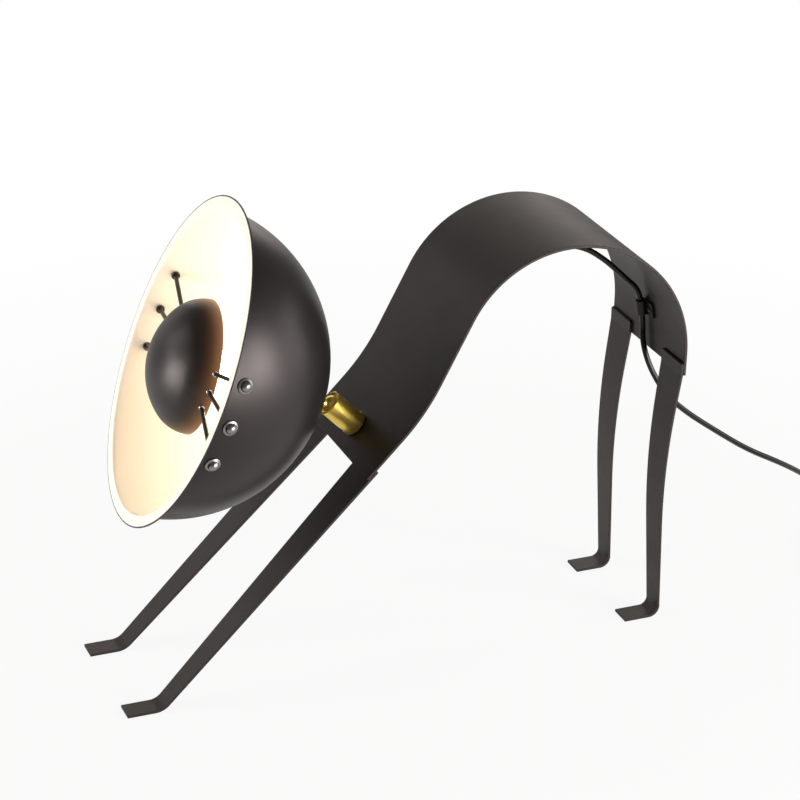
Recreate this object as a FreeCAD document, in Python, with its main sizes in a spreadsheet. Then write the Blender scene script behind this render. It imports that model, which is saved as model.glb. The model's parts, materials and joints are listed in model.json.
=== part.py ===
import FreeCAD, Part
import os
import re
from math import atan2, cos, pi, sin, sqrt, tan

import Sketcher

Vector = FreeCAD.Vector
document = FreeCAD.newDocument("CatLamp")

# Driving sizes of the lamp, in millimetres and degrees.
sizes = {
    # arched body strip, named along its upper face from the neck end to the rump
    "stripWidth": 150.0,
    "stripThickness": 2.5,
    "frontSlope": 44.8,
    "frontStraight": 47.0,
    "chestRadius": 200.6,
    "riseSlope": 61.3,
    "riseStraight": 63.6,
    "crestRadius": 108.3,
    "rumpRadius": 115.6,
    "rumpSlope": 92.0,
    "rumpStraight": 20.7,
    # legs, bent from one flat bar and lapped on the strip's inner face
    "legThickness": 2.5,
    "legTopWidth": 41.5,
    "frontFootBend": 15.5,
    "rearFootBend": 8.0,
    "frontFootLength": 33.2,
    "frontReach": 273.6,
    "frontLap": 11.0,
    "frontFootWidth": 21.5,
    "frontFootInset": 4.0,
    "rearFootLength": 35.0,
    "rearLap": 11.0,
    "rearFootWidth": 22.5,
    "rearFootInset": 9.3,
    "rearShinSlope": 91.4,
    "rearLean": 8.6,
    "rearLeanLength": 30.0,
    "rearCurve": 700.0,
    # threaded nipple that holds the neck on the strip
    "neckSetback": 25.4,
    "nippleRadius": 5.0,
    "nippleBore": 3.5,
    "nippleHeadRadius": 6.8,
    "nippleHeadThickness": 1.5,
    "nippleTail": 14.0,
    "padRadius": 11.0,
    "padThickness": 0.8,
    "neckWasherRadius": 9.0,
    "neckWasherThickness": 1.0,
    "neckNutFlats": 14.0,
    "neckNutHeight": 3.5,
    "bushingRadius": 6.6,
    "bushingTipRadius": 5.0,
    "bushingOverlap": 4.5,
    "bushingTail": 6.0,
    # brass ball joint
    "socketRadius": 12.0,
    "socketFloor": 3.0,
    "socketCavity": 7.5,
    "socketSplit": 7.0,
    "spigotRadius": 10.4,
    "spigotHeight": 3.0,
    "socketChamfer": 1.0,
    "ballHeight": 32.0,
    "ballRadius": 9.0,
    "mouthRadius": 8.0,
    "lipRadius": 10.4,
    "lipHeight": 4.9,
    "flatDistance": 11.3,
    "flatWidth": 9.0,
    "flatStart": 8.5,
    "flatEndRadius": 4.77,
    "stemRadius": 5.0,
    "stemBore": 3.0,
    "stemTail": 12.5,
    "collarFlats": 15.0,
    "collarHeight": 4.0,
    # head position on the ball
    "ballToSeat": 19.56,
    "headRise": 23.4,
    "headTurn": 4.7,
    # spun dome shade
    "domeRadius": 140.4,
    "domeShift": 7.35,
    "domeWall": 1.2,
    "flangeWidth": 9.9,
    "seatRadius": 13.0,
    # lamp holder inside the dome
    "holderWasherRadius": 11.0,
    "holderWasherThickness": 1.0,
    "capBaseRadius": 15.5,
    "capRadius": 19.0,
    "capHeight": 18.0,
    "capWall": 2.6,
    "shellRadius": 20.0,
    "shellBore": 16.2,
    "shellHeight": 37.0,
    "shellRing": 1.6,
    "shellRingFoot": 26.64,
    "shellRingLow": 28.12,
    "shellRingHigh": 33.3,
    "coreHeight": 7.0,
    "threadSleeveRadius": 15.6,
    "threadSleeveWall": 0.6,
    "threadSleeveHeight": 27.0,
    "contactWidth": 6.0,
    "contactThickness": 0.8,
    "contactRise": 2.4,
    # golf ball bulb with a screw cap
    "bulbCapRadius": 13.2,
    "bulbCapHeight": 21.0,
    "bulbCapWall": 0.4,
    "bulbTipHeight": 4.0,
    "bulbTipRadius": 5.0,
    "globeRadius": 22.5,
    "globeNeckRadius": 12.2,
    "globeNeckHeight": 15.0,
    "glassWall": 0.8,
    # nose cup in the dome's mouth
    "cupRadius": 60.3,
    "cupHeight": 45.4,
    "cupWall": 1.2,
    "cupShoulder": 36.0,
    "cupDepth": 20.9,
    "cupDip": 5.65,
    # whisker rods between the cup and the dome
    "rodRadius": 2.0,
    "rodDepth": 15.5,
    "rodAngle": 15.5,
    "rodStart": 53.2,
    "cupBeadRadius": 2.7,
    "cupBeadHeight": 1.8,
    "wallCollarRadius": 4.0,
    "wallCollarHeight": 2.2,
    "rodEndLength": 3.6,
    "cupNutFlats": 7.0,
    "cupNutHeight": 2.4,
    "cupNutInset": 1.5,
    "capNutFlangeRadius": 7.0,
    "capNutFlangeHeight": 1.5,
    "capNutFlangeEdge": 0.9,
    "capNutRadius": 5.0,
    "capNutHeight": 5.6,
    "capNutBore": 2.9,
    "capNutBoreDepth": 4.4,
    # cord clip on the rump
    "clipAngle": 7.5,
    "clipOffset": 4.0,
    "clipWidth": 14.0,
    "clipBand": 2.4,
    "clipPlate": 2.4,
    "clipTab": 16.5,
    "clipLift": 0.25,
    "clipStraight": 16.0,
    "clipScrewOffset": 11.5,
    "clipScrewRadius": 1.5,
    "clipScrewHeadRadius": 2.4,
    "clipScrewHeadHeight": 1.6,
    # cord and what is on it; the straight values are its straight runs at each piece
    "cordRadius": 2.7,
    "switchX": 560.6,
    "switchY": 17.0,
    "leadLength": 28.0,
    "leadStraight": 9.0,
    "tailLength": 36.0,
    "tailShift": 1.0,
    "tailStraight": 11.0,
    "plugStraight": 12.0,
    "coilTurns": 2.5,
    "coilRadius": 40.0,
    "coilGap": 0.7,
    "tieThickness": 0.8,
    "tieWidth": 9.0,
    "tieClearance": 0.3,
    "tieSlack": 0.8,
    "switchLength": 56.0,
    "switchWidth": 27.0,
    "switchEndWidth": 13.0,
    "switchTaper": 14.0,
    "switchLowerHeight": 6.5,
    "switchUpperHeight": 10.0,
    "rockerRadius": 8.2,
    "rockerWidth": 11.0,
    "rockerTop": 2.8,
    "rockerDish": 0.9,
    "rockerDepth": 4.1,
    "rockerTilt": 7.0,
    "rockerSink": 2.3,
    "rockerPinRadius": 1.3,
    "rockerPinReach": 2.0,
    "rockerPocketDepth": 8.2,
    "reliefRadius": 5.0,
    "reliefTipRadius": 3.5,
    "reliefLength": 20.0,
    "plugReliefLength": 24.0,
    "plugWidth": 35.0,
    "plugNeckWidth": 15.0,
    "plugThickness": 14.0,
    "plugLength": 37.0,
    "plugShoulder": 17.0,
    "pinRadius": 2.0,
    "pinLength": 19.0,
    "pinSpacing": 18.6,
    # clearances
    "runningFit": 0.05,
    "looseFit": 0.2,
    "softGap": 0.3,
}

sheet = document.addObject("Spreadsheet::Sheet", "Sizes")
for row, (alias, number) in enumerate(sizes.items(), 1):
    sheet.set("A%d" % row, alias)
    sheet.set("B%d" % row, str(number))
    sheet.setAlias("B%d" % row, alias)
places = document.addObject("App::VarSet", "Places")
placeNames = set()
document.recompute()


def formula(text):
    # turns the names in a formula into references to the sheet and the places
    def reference(match):
        word = match.group(0)
        if word in sizes:
            return "Sizes." + word
        if word in placeNames:
            return "Places." + word
        return word
    return re.sub(r"[A-Za-z_]\w*", reference, str(text))


def number(text):
    result = sheet.evalExpression(formula(text))
    return float(getattr(result, "Value", result))


def addPlace(name, text, kind="Float"):
    places.addProperty("App::Property" + kind, name, "Layout", "")
    places.setExpression(name, formula(text))
    placeNames.add(name)
    document.recompute()


def addFrame(name, x, y, z, turn, parent=None):
    text = "placement(vector(%s; %s; %s); %s)" % (x, y, z, turn)
    if parent:
        text = parent + " * " + text
    addPlace(name, text, "Placement")


# Places along the strip's upper face, seen from the side; X starts at the front toes.
addPlace("stripX", "frontFootLength + frontReach * cos(frontSlope)"
         " - (legThickness + stripThickness) * sin(frontSlope)")
addPlace("stripZ", "frontReach * sin(frontSlope) + (legThickness + stripThickness) * cos(frontSlope)")
addPlace("chestX", "stripX + frontStraight * cos(frontSlope)")
addPlace("chestZ", "stripZ + frontStraight * sin(frontSlope)")
addPlace("riseX", "chestX + chestRadius * (sin(riseSlope) - sin(frontSlope))")
addPlace("riseZ", "chestZ + chestRadius * (cos(frontSlope) - cos(riseSlope))")
addPlace("crestX", "riseX + riseStraight * cos(riseSlope) + crestRadius * sin(riseSlope)")
addPlace("crestZ", "riseZ + riseStraight * sin(riseSlope) + crestRadius * (1 - cos(riseSlope))")
addPlace("heelX", "crestX + rumpRadius * sin(rumpSlope) + rumpStraight * cos(rumpSlope)")
addPlace("heelZ", "crestZ - rumpRadius * (1 - cos(rumpSlope)) - rumpStraight * sin(rumpSlope)")
addPlace("halfLength", "(crestX + rumpRadius) / 2")

# Rear leg's back face: it leaves the strip's inner face at the heel and drops to the floor.
# The shin is its straight stretch above the foot.
addPlace("lapX", "heelX - stripThickness * sin(rumpSlope)")
addPlace("lapZ", "heelZ - stripThickness * cos(rumpSlope)")
addPlace("frontBendOut", "frontFootBend + legThickness")
addPlace("rearBendOut", "rearFootBend + legThickness")
addPlace("shinTopX", "lapX - rearBendOut * (sin(rumpSlope) - cos(rearLean)) - rearLeanLength * sin(rearLean)"
         " - rearCurve * (sin(rearShinSlope) - cos(rearLean))")
addPlace("shinTopZ", "lapZ - rearBendOut * (sin(rearLean) + cos(rumpSlope)) - rearLeanLength * cos(rearLean)"
         " - rearCurve * (sin(rearLean) - cos(rearShinSlope))")
addPlace("shinLength", "(shinTopZ - rearBendOut * (1 - cos(rearShinSlope))) / sin(rearShinSlope)")
addPlace("ankleX", "shinTopX - shinLength * cos(rearShinSlope) - rearBendOut * sin(rearShinSlope)")

# Neck, ball and head.
addPlace("neckX", "stripX + neckSetback * cos(frontSlope)")
addPlace("neckZ", "stripZ + neckSetback * sin(frontSlope)")
addPlace("seatZ", "domeShift - sqrt(domeRadius ^ 2 - seatRadius ^ 2)")
addPlace("headReach", "ballToSeat - seatZ")
addPlace("headForward", "headReach * cos(headRise)")
addPlace("headX", "neckX - ballHeight * sin(frontSlope) - headForward * cos(headTurn)")
addPlace("headY", "headForward * sin(headTurn)")
addPlace("headZ", "neckZ + ballHeight * cos(frontSlope) + headReach * sin(headRise)")
addPlace("sideShift", "headY - domeWall / 2 * cos(headRise) * sin(headTurn)")
addPlace("socketTop", "ballHeight + lipHeight")
addPlace("bulbTipZ", "seatZ + domeWall + holderWasherThickness + capHeight + contactThickness"
         " + contactRise + softGap")
addPlace("bulbCapZ", "bulbTipZ + bulbTipHeight")
addPlace("globeNeckZ", "bulbCapZ + bulbCapHeight")
addPlace("globeZ", "globeNeckZ + globeNeckHeight + sqrt(globeRadius ^ 2 - globeNeckRadius ^ 2)")
addPlace("nutLean", "asin((rodDepth + domeShift) / domeRadius)")

# Frames. The lamp frame puts the origin under the middle of the lamp, on the floor.
addFrame("lampFrame", "-halfLength", "-sideShift", "0", "rotationz(0)")
addFrame("neckLocal", "neckX", "0", "neckZ", "rotationy(-frontSlope)")
addFrame("neckFrame", "0", "0", "0", "rotationz(0)", "lampFrame * neckLocal")
addFrame("headFrame", "headX", "headY", "headZ", "rotationz(-headTurn) * rotationy(headRise - 90)",
         "lampFrame")
addPlace("clipReach", "rumpRadius - stripThickness - clipLift")
addFrame("clipLocal", "crestX + clipReach * cos(clipAngle)", "clipOffset",
         "crestZ - rumpRadius + clipReach * sin(clipAngle)", "rotationy(-90 - clipAngle)")
addFrame("clipFrame", "0", "0", "0", "rotationz(0)", "lampFrame * clipLocal")
addFrame("cupLocal", "0", "0", "-cupDepth", "rotationy(-cupDip)")

nodes = []


def keep(piece, name, frame=None):
    # names a finished sub-part and puts it in its place
    piece.Label = name
    if frame:
        piece.setExpression("Placement", formula(frame))
    nodes.append(piece)
    return piece


def sketchOn(body, role):
    sketch = body.newObject("Sketcher::SketchObject", body.Name + "Sketch")
    plane = [feature for feature in body.Origin.OriginFeatures if feature.Role == role][0]
    sketch.AttachmentSupport = [(plane, "")]
    sketch.MapMode = "FlatFace"
    return sketch


def drawOutline(sketch, corners):
    # A closed outline. A corner is (x, y), or (x, y, radius, turn) where an arc leaves it.
    spots = [Vector(number(corner[0]), number(corner[1]), 0) for corner in corners]
    edges, rules, bound = [], [], []
    first = sketch.GeometryCount
    for index, corner in enumerate(corners):
        start, end = spots[index], spots[(index + 1) % len(corners)]
        starts, ends = 1, 2
        if len(corner) == 2:
            edges.append(Part.LineSegment(start, end))
        else:
            radius = number(corner[2])
            chord = end - start
            reach = sqrt(max(radius ** 2 - chord.Length ** 2 / 4, 0.0))
            normal = Vector(-chord.y, chord.x, 0).normalize()
            left = corner[3] == "left"
            centre = (start + end) / 2 + normal * (reach if left else -reach)
            if not left:
                start, end, starts, ends = end, start, 2, 1
            angles = [atan2(spot.y - centre.y, spot.x - centre.x) for spot in (start, end)]
            edges.append(Part.ArcOfCircle(Part.Circle(centre, Vector(0, 0, 1), radius), *angles))
        bound.append((starts, ends))
    sketch.addGeometry(edges)
    formulas = []
    for index, corner in enumerate(corners):
        here, after = first + index, first + (index + 1) % len(corners)
        starts, ends = bound[index]
        nextStarts = bound[(index + 1) % len(corners)][0]
        rules.append(Sketcher.Constraint("Coincident", here, ends, after, nextStarts))
        formulas.append(None)
        rules.append(Sketcher.Constraint("DistanceX", here, starts, spots[index].x))
        formulas.append(corner[0])
        rules.append(Sketcher.Constraint("DistanceY", here, starts, spots[index].y))
        formulas.append(corner[1])
        if len(corner) == 4:
            rules.append(Sketcher.Constraint("Radius", here, number(corner[2])))
            formulas.append(corner[2])
    offset = sketch.ConstraintCount
    sketch.addConstraint(rules)
    for index, text in enumerate(formulas):
        if text is not None:
            sketch.setExpression("Constraints[%d]" % (offset + index), formula(text))


def padded(name, role, corners, length, symmetric=True):
    body = document.addObject("PartDesign::Body", name)
    sketch = sketchOn(body, role)
    drawOutline(sketch, corners)
    pad = body.newObject("PartDesign::Pad", name + "Pad")
    pad.Profile = sketch
    pad.setExpression("Length", formula(length))
    if symmetric:
        pad.SideType = "Symmetric"
    return body


def turned(name, corners, frame=None, node=True):
    # revolves an outline of (radius, height) about the piece's own Z axis
    body = document.addObject("PartDesign::Body", name)
    sketch = sketchOn(body, "XZ_Plane")
    drawOutline(sketch, corners)
    turn = body.newObject("PartDesign::Revolution", name + "Turn")
    turn.Profile = sketch
    turn.ReferenceAxis = (sketch, ["V_Axis"])
    turn.Angle = 360
    return keep(body, name, frame) if node else body


def primitive(kind, name, placement=None, **values):
    piece = document.addObject("Part::" + kind, name)
    for key, text in values.items():
        piece.setExpression(key, formula(text))
    if placement:
        piece.setExpression("Placement", formula(placement))
    return piece


def rod(name, radius, length, placement):
    return primitive("Cylinder", name, placement, Radius=radius, Height=length)


def box(name, x, y, z, length, width, height):
    spot = "placement(vector(%s; %s; %s); rotationz(0))" % (x, y, z)
    return primitive("Box", name, spot, Length=length, Width=width, Height=height)


def combine(kind, name, base, tool):
    piece = document.addObject("Part::" + kind, name)
    piece.Base = base
    piece.Tool = tool
    return piece


def joined(name, pieces):
    piece = document.addObject("Part::MultiFuse", name)
    piece.Shapes = pieces
    return piece


def ribbon(name, start, moves, thickness, side, width):
    # A flat bar bent along a path. Moves are (length, heading) for a straight stretch and
    # (radius, heading, new heading, turn) for a bend; side 1 puts the bar on the path's left.
    x, z = start
    path, back = [], []

    def shifted(heading):
        return ("%s - (%d) * %s * sin(%s)" % (x, side, thickness, heading),
                "%s + (%d) * %s * cos(%s)" % (z, side, thickness, heading))
    for move in moves:
        if len(move) == 2:
            length, heading = move
            path.append((x, z))
            back.append((shifted(heading), None))
            x = "%s + (%s) * cos(%s)" % (x, length, heading)
            z = "%s + (%s) * sin(%s)" % (z, length, heading)
            last = shifted(heading)
        else:
            radius, heading, heading2, turn = move
            sign = 1 if turn == "left" else -1
            path.append((x, z, radius, turn))
            other = "right" if turn == "left" else "left"
            back.append((shifted(heading), ("%s - (%d) * %s" % (radius, sign * side, thickness), other)))
            x = "%s + (%d) * (%s) * (sin(%s) - sin(%s))" % (x, sign, radius, heading2, heading)
            z = "%s + (%d) * (%s) * (cos(%s) - cos(%s))" % (z, sign, radius, heading, heading2)
            last = shifted(heading2)
    corners = path + [(x, z)]
    # the far face runs back from the end, each corner taking the arc of the stretch before it
    spots = [spot for spot, _ in back] + [last]
    arcs = [arc for _, arc in back]
    for index in range(len(spots) - 1, -1, -1):
        arc = arcs[index - 1] if index > 0 else None
        corners.append(spots[index] + arc if arc else spots[index])
    return padded(name, "XZ_Plane", corners, width)


# Body strip, with the neck's hole and the clip screw's hole.
stripBar = ribbon("stripBar", ("stripX", "stripZ"), [
    ("frontStraight", "frontSlope"),
    ("chestRadius", "frontSlope", "riseSlope", "left"),
    ("riseStraight", "riseSlope"),
    ("crestRadius", "riseSlope", "0", "right"),
    ("rumpRadius", "0", "-rumpSlope", "right"),
    ("rumpStraight", "-rumpSlope"),
], "stripThickness", -1, "stripWidth")
neckHole = rod("neckHole", "nippleRadius + looseFit", "6 * stripThickness",
               "neckLocal * placement(vector(0; 0; -3 * stripThickness); rotationz(0))")
screwSpot = "placement(vector(0; -clipScrewOffset; %s); rotationz(0))"
screwHole = rod("screwHole", "clipScrewRadius + runningFit", "6 * stripThickness",
                "clipLocal * " + screwSpot % "-3 * stripThickness")
bodyStrip = combine("Cut", "bodyStrip", stripBar, joined("stripHoles", [neckHole, screwHole]))
keep(bodyStrip, "body_strip", "lampFrame")

# Legs: a bent bar whose sides are trimmed to the taper seen from the front.
frontTop = "((frontReach + frontLap) * sin(frontSlope) + legThickness * cos(frontSlope))"
rearTop = "(lapZ + rearLap * sin(rumpSlope))"


def leg(name, side, moves, start, top, footWidth, footInset):
    bar = ribbon(name + "Bar", start, moves, "legThickness", 1, "2 * stripWidth")
    outerTop = "(%d) * stripWidth / 2" % side
    innerTop = "(%d) * (stripWidth / 2 - legTopWidth)" % side
    outerFoot = "(%d) * (stripWidth / 2 - %s)" % (side, footInset)
    innerFoot = "(%d) * (stripWidth / 2 - %s - %s)" % (side, footInset, footWidth)
    over = top + " + stripWidth"
    taper = padded(name + "Taper", "YZ_Plane", [
        (outerFoot, "-stripWidth"), (outerFoot, "0"), (outerTop, top), (outerTop, over),
        (innerTop, over), (innerTop, top), (innerFoot, "0"), (innerFoot, "-stripWidth"),
    ], "6 * halfLength")
    return combine("Common", name + "Shape", bar, taper)


for side, word in ((-1, "left"), (1, "right")):
    setback = "frontBendOut * tan(frontSlope / 2)"
    front = leg("front" + word.title(), side, [
        ("frontFootLength - " + setback, "0"),
        ("frontBendOut", "0", "frontSlope", "left"),
        ("frontReach + frontLap - " + setback, "frontSlope"),
    ], ("0", "0"), frontTop, "frontFootWidth", "frontFootInset")
    keep(front, "front_leg_" + word, "lampFrame")
    rear = leg("rear" + word.title(), side, [
        ("rearFootLength - rearBendOut", "0"),
        ("rearBendOut", "0", "rearShinSlope", "left"),
        ("shinLength", "rearShinSlope"),
        ("rearCurve", "rearShinSlope", "90 - rearLean", "right"),
        ("rearLeanLength", "90 - rearLean"),
        ("rearBendOut", "90 - rearLean", "180 - rumpSlope", "left"),
        ("rearLap", "180 - rumpSlope"),
    ], ("ankleX + rearBendOut - rearFootLength", "0"), rearTop, "rearFootWidth", "rearFootInset")
    keep(rear, "rear_leg_" + word, "lampFrame")

# Neck fixing: pad, nipple, washer, nut and cord bushing, along the neck's axis.
turned("friction_pad", [
    ("nippleRadius + looseFit", "0"), ("padRadius", "0"),
    ("padRadius", "padThickness"), ("nippleRadius + looseFit", "padThickness"),
], "neckFrame")
headBottom = "padThickness + socketFloor + runningFit"
turned("neck_nipple", [
    ("nippleBore", "-nippleTail"), ("nippleRadius", "-nippleTail"),
    ("nippleRadius", headBottom), ("nippleHeadRadius", headBottom),
    ("nippleHeadRadius", headBottom + " + nippleHeadThickness"),
    ("nippleBore", headBottom + " + nippleHeadThickness"),
], "neckFrame")
washerLow = "-stripThickness - neckWasherThickness"
turned("neck_washer", [
    ("nippleRadius + looseFit", washerLow), ("neckWasherRadius", washerLow),
    ("neckWasherRadius", "-stripThickness"), ("nippleRadius + looseFit", "-stripThickness"),
], "neckFrame")


def hexNut(name, flats, height, bore, low, frame):
    spot = "placement(vector(0; 0; %s); rotationz(0))"
    prism = primitive("Prism", name + "Prism", spot % low, Circumradius=flats + " / 2 / cos(30)",
                      Height=height)
    prism.Polygon = 6
    hole = rod(name + "Hole", bore, "3 * " + height, spot % (low + " - " + height))
    return keep(combine("Cut", name + "Shape", prism, hole), name, frame)


hexNut("neck_nut", "neckNutFlats", "neckNutHeight", "nippleRadius + runningFit",
       washerLow + " - neckNutHeight", "neckFrame")
turned("cord_bushing", [
    ("cordRadius + runningFit", "-nippleTail - bushingTail"),
    ("bushingTipRadius", "-nippleTail - bushingTail"),
    ("bushingRadius", "-nippleTail"),
    ("bushingRadius", "-nippleTail + bushingOverlap"),
    ("nippleRadius + runningFit", "-nippleTail + bushingOverlap"),
    ("nippleRadius + runningFit", "-nippleTail - runningFit"),
    ("cordRadius + runningFit", "-nippleTail - runningFit"),
], "neckFrame")

# Brass socket: a body on the nipple and a ring that traps the ball.
splitZ = "(ballHeight - socketSplit)"
seat = "(ballRadius + runningFit)"
spigotTop = "(%s + spigotHeight)" % splitZ
ringStep = "(%s + runningFit)" % spigotTop
seatAtCavity = "ballHeight - sqrt(%s ^ 2 - socketCavity ^ 2)" % seat
socketBar = turned("socketBar", [
    ("nippleRadius + runningFit", "padThickness"),
    ("socketRadius - socketChamfer", "padThickness"),
    ("socketRadius", "padThickness + socketChamfer"),
    ("socketRadius", splitZ), ("spigotRadius", splitZ), ("spigotRadius", spigotTop),
    ("sqrt(%s ^ 2 - (ballHeight - %s) ^ 2)" % (seat, spigotTop), spigotTop, seat, "right"),
    ("socketCavity", seatAtCavity),
    ("socketCavity", "padThickness + socketFloor"),
    ("nippleRadius + runningFit", "padThickness + socketFloor"),
], node=False)
ringBar = turned("ringBar", [
    ("socketRadius", splitZ),
    ("socketRadius", "socketTop - socketChamfer / 2"),
    ("socketRadius - socketChamfer / 2", "socketTop"),
    ("lipRadius", "socketTop"),
    ("mouthRadius", "ballHeight + sqrt(%s ^ 2 - mouthRadius ^ 2)" % seat, seat, "right"),
    ("sqrt(%s ^ 2 - (ballHeight - %s) ^ 2)" % (seat, ringStep), ringStep),
    ("spigotRadius + runningFit", ringStep), ("spigotRadius + runningFit", splitZ),
], node=False)
flatSlot = padded("flatSlot", "YZ_Plane", [
    ("flatWidth / 2", "socketTop + socketRadius"), ("-flatWidth / 2", "socketTop + socketRadius"),
    ("-flatWidth / 2", "flatStart", "flatEndRadius", "left"), ("flatWidth / 2", "flatStart"),
], "4 * socketRadius")
flatCore = box("flatCore", "-flatDistance", "-socketRadius", "-socketRadius", "2 * flatDistance",
               "2 * socketRadius", "socketTop + 3 * socketRadius")
flats = combine("Cut", "flats", flatSlot, flatCore)
keep(combine("Cut", "socketShape", socketBar, flats), "socket_body", "neckFrame")
keep(combine("Cut", "ringShape", ringBar, flats), "socket_ring", "neckFrame")

# Ball, hollow stem and lock nut; the head frame's Z runs out of the dome's mouth.
ballZ = "-headReach"
stemTop = "seatZ + stemTail"
stemAtBall = "%s + sqrt(ballRadius ^ 2 - stemRadius ^ 2)" % ballZ
boreAtBall = "%s - sqrt(ballRadius ^ 2 - stemBore ^ 2)" % ballZ
turned("ball_stem", [
    ("stemBore", boreAtBall, "ballRadius", "left"),
    ("stemRadius", stemAtBall), ("stemRadius", stemTop), ("stemBore", stemTop),
], "headFrame")
hexNut("stem_collar", "collarFlats", "collarHeight", "stemRadius + runningFit",
       "seatZ - collarHeight", "headFrame")

# Shade: a spun dome with a flat seat at its pole and an outward rim flange.
domeInner = "(domeRadius - domeWall)"
domeBar = turned("domeBar", [
    ("stemRadius + looseFit", "seatZ"), ("seatRadius", "seatZ", "domeRadius", "left"),
    ("sqrt(domeRadius ^ 2 - (domeWall + domeShift) ^ 2)", "-domeWall"),
    ("domeRadius + flangeWidth", "-domeWall"), ("domeRadius + flangeWidth", "0"),
    ("sqrt(%s ^ 2 - domeShift ^ 2)" % domeInner, "0", domeInner, "right"),
    ("sqrt(%s ^ 2 - (domeShift - seatZ - domeWall) ^ 2)" % domeInner, "seatZ + domeWall"),
    ("stemRadius + looseFit", "seatZ + domeWall"),
], node=False)

# Nose cup: two tangent arcs make its rounded shape, open towards the bulb.
noseRadius = "(((cupRadius - cupShoulder) ^ 2 + cupHeight ^ 2 - cupShoulder ^ 2)" \
             " / 2 / (cupHeight - cupShoulder))"
noseCentre = "(cupHeight - %s)" % noseRadius
noseShare = "(%s / (%s - cupShoulder))" % (noseRadius, noseRadius)
innerShare = "((%s - cupWall) / (%s - cupShoulder))" % (noseRadius, noseRadius)
cupBar = turned("cupBar", [
    ("cupRadius - cupWall", "0"), ("cupRadius", "0", "cupShoulder", "left"),
    ("%s * (cupRadius - cupShoulder)" % noseShare, "%s - %s * %s" % (noseCentre, noseShare, noseCentre),
     noseRadius, "left"),
    ("0", "cupHeight"),
    ("0", "cupHeight - cupWall", noseRadius + " - cupWall", "right"),
    ("%s * (cupRadius - cupShoulder)" % innerShare, "%s - %s * %s" % (noseCentre, innerShare, noseCentre),
     "cupShoulder - cupWall", "right"),
], node=False)
cupBar.setExpression("Placement", formula("cupLocal"))

# Whiskers: three rods each side join the cup to the dome; a cap nut holds each outside.
whiskers = []
for side, word in ((-1, "left"), (1, "right")):
    for step, level in ((1, "upper"), (0, "middle"), (-1, "lower")):
        turn = "rotationz((%d) * (90 - (%d) * rodAngle))" % (side, step)
        whiskers.append((word + "_" + level, turn))
rodHoles = []
for word, turn in whiskers:
    spot = "placement(vector(0; 0; -rodDepth); %s * rotationy(90))" % turn
    spot += " * placement(vector(0; 0; rodStart - cupNutHeight); rotationz(0))"
    rodHoles.append(rod("hole_" + word, "rodRadius + looseFit", "domeRadius", spot))
rodHoleSet = joined("rodHoles", rodHoles)
keep(combine("Cut", "domeShape", domeBar, rodHoleSet), "shade", "headFrame")
keep(combine("Cut", "cupShape", cupBar, rodHoleSet), "nose_cup", "headFrame")

wallAtRod = "sqrt(%s ^ 2 - (rodDepth + domeShift + wallCollarRadius) ^ 2)" % domeInner
collarEnd = "(%s - softGap)" % wallAtRod
rodEnd = "(sqrt(domeRadius ^ 2 - (rodDepth + domeShift) ^ 2) + rodEndLength)"
beadStart = "(cupRadius + softGap)"
cupNutFace = "(cupRadius - cupWall - cupNutInset)"
for word, turn in whiskers:
    rodFrame = "headFrame * placement(vector(0; 0; -rodDepth); %s * rotationy(90))" % turn
    nutFrame = "headFrame * placement(vector(0; 0; domeShift); %s * rotationy(90 + nutLean))" % turn
    turned("whisker_rod_" + word, [
        ("0", "rodStart"), ("rodRadius", "rodStart"), ("rodRadius", beadStart),
        ("cupBeadRadius", beadStart), ("rodRadius", beadStart + " + cupBeadHeight"),
        ("rodRadius", collarEnd + " - wallCollarHeight"),
        ("wallCollarRadius", collarEnd + " - wallCollarHeight"),
        ("wallCollarRadius", collarEnd), ("rodRadius", collarEnd),
        ("rodRadius", rodEnd), ("0", rodEnd),
    ], rodFrame)
    hexNut("cup_nut_" + word, "cupNutFlats", "cupNutHeight", "rodRadius + runningFit",
           cupNutFace + " - cupNutHeight", rodFrame)
    turned("cap_nut_" + word, [
        ("capNutBore", "domeRadius"), ("capNutFlangeRadius", "domeRadius"),
        ("capNutFlangeRadius", "domeRadius + capNutFlangeEdge"),
        ("capNutRadius", "domeRadius + capNutFlangeHeight",
         "((capNutRadius ^ 2 + (capNutHeight - capNutFlangeHeight) ^ 2)"
         " / 2 / (capNutHeight - capNutFlangeHeight))", "left"),
        ("0", "domeRadius + capNutHeight"), ("0", "domeRadius + capNutBoreDepth"),
        ("capNutBore", "domeRadius + capNutBoreDepth"),
    ], nutFrame)

# Lamp holder, screwed on the stem inside the dome.
washerZ = "(seatZ + domeWall)"
capZ = "(%s + holderWasherThickness)" % washerZ
shellZ = "(%s + capHeight)" % capZ
turned("holder_washer", [
    ("stemRadius + looseFit", washerZ), ("holderWasherRadius", washerZ),
    ("holderWasherRadius", capZ), ("stemRadius + looseFit", capZ),
], "headFrame")
turned("holder_cap", [
    ("stemRadius + runningFit", capZ), ("capBaseRadius", capZ),
    ("capRadius", capZ + " + capHeight / 2"), ("capRadius", shellZ),
    ("capRadius - capWall", shellZ), ("capRadius - capWall", capZ + " + capHeight / 2"),
    ("capBaseRadius - capWall", capZ + " + capWall"), ("stemRadius + runningFit", capZ + " + capWall"),
], "headFrame")
turned("holder_core", [
    ("0", shellZ + " - coreHeight"), ("capRadius - capWall - runningFit", shellZ + " - coreHeight"),
    ("capRadius - capWall - runningFit", shellZ), ("0", shellZ),
], "headFrame")
turned("holder_shell", [
    ("shellBore", shellZ), ("shellRadius", shellZ),
    ("shellRadius", shellZ + " + shellRingFoot"),
    ("shellRadius + shellRing", shellZ + " + shellRingLow"),
    ("shellRadius + shellRing", shellZ + " + shellRingHigh"),
    ("shellRadius", shellZ + " + shellHeight"), ("shellBore", shellZ + " + shellHeight"),
], "headFrame")
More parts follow.
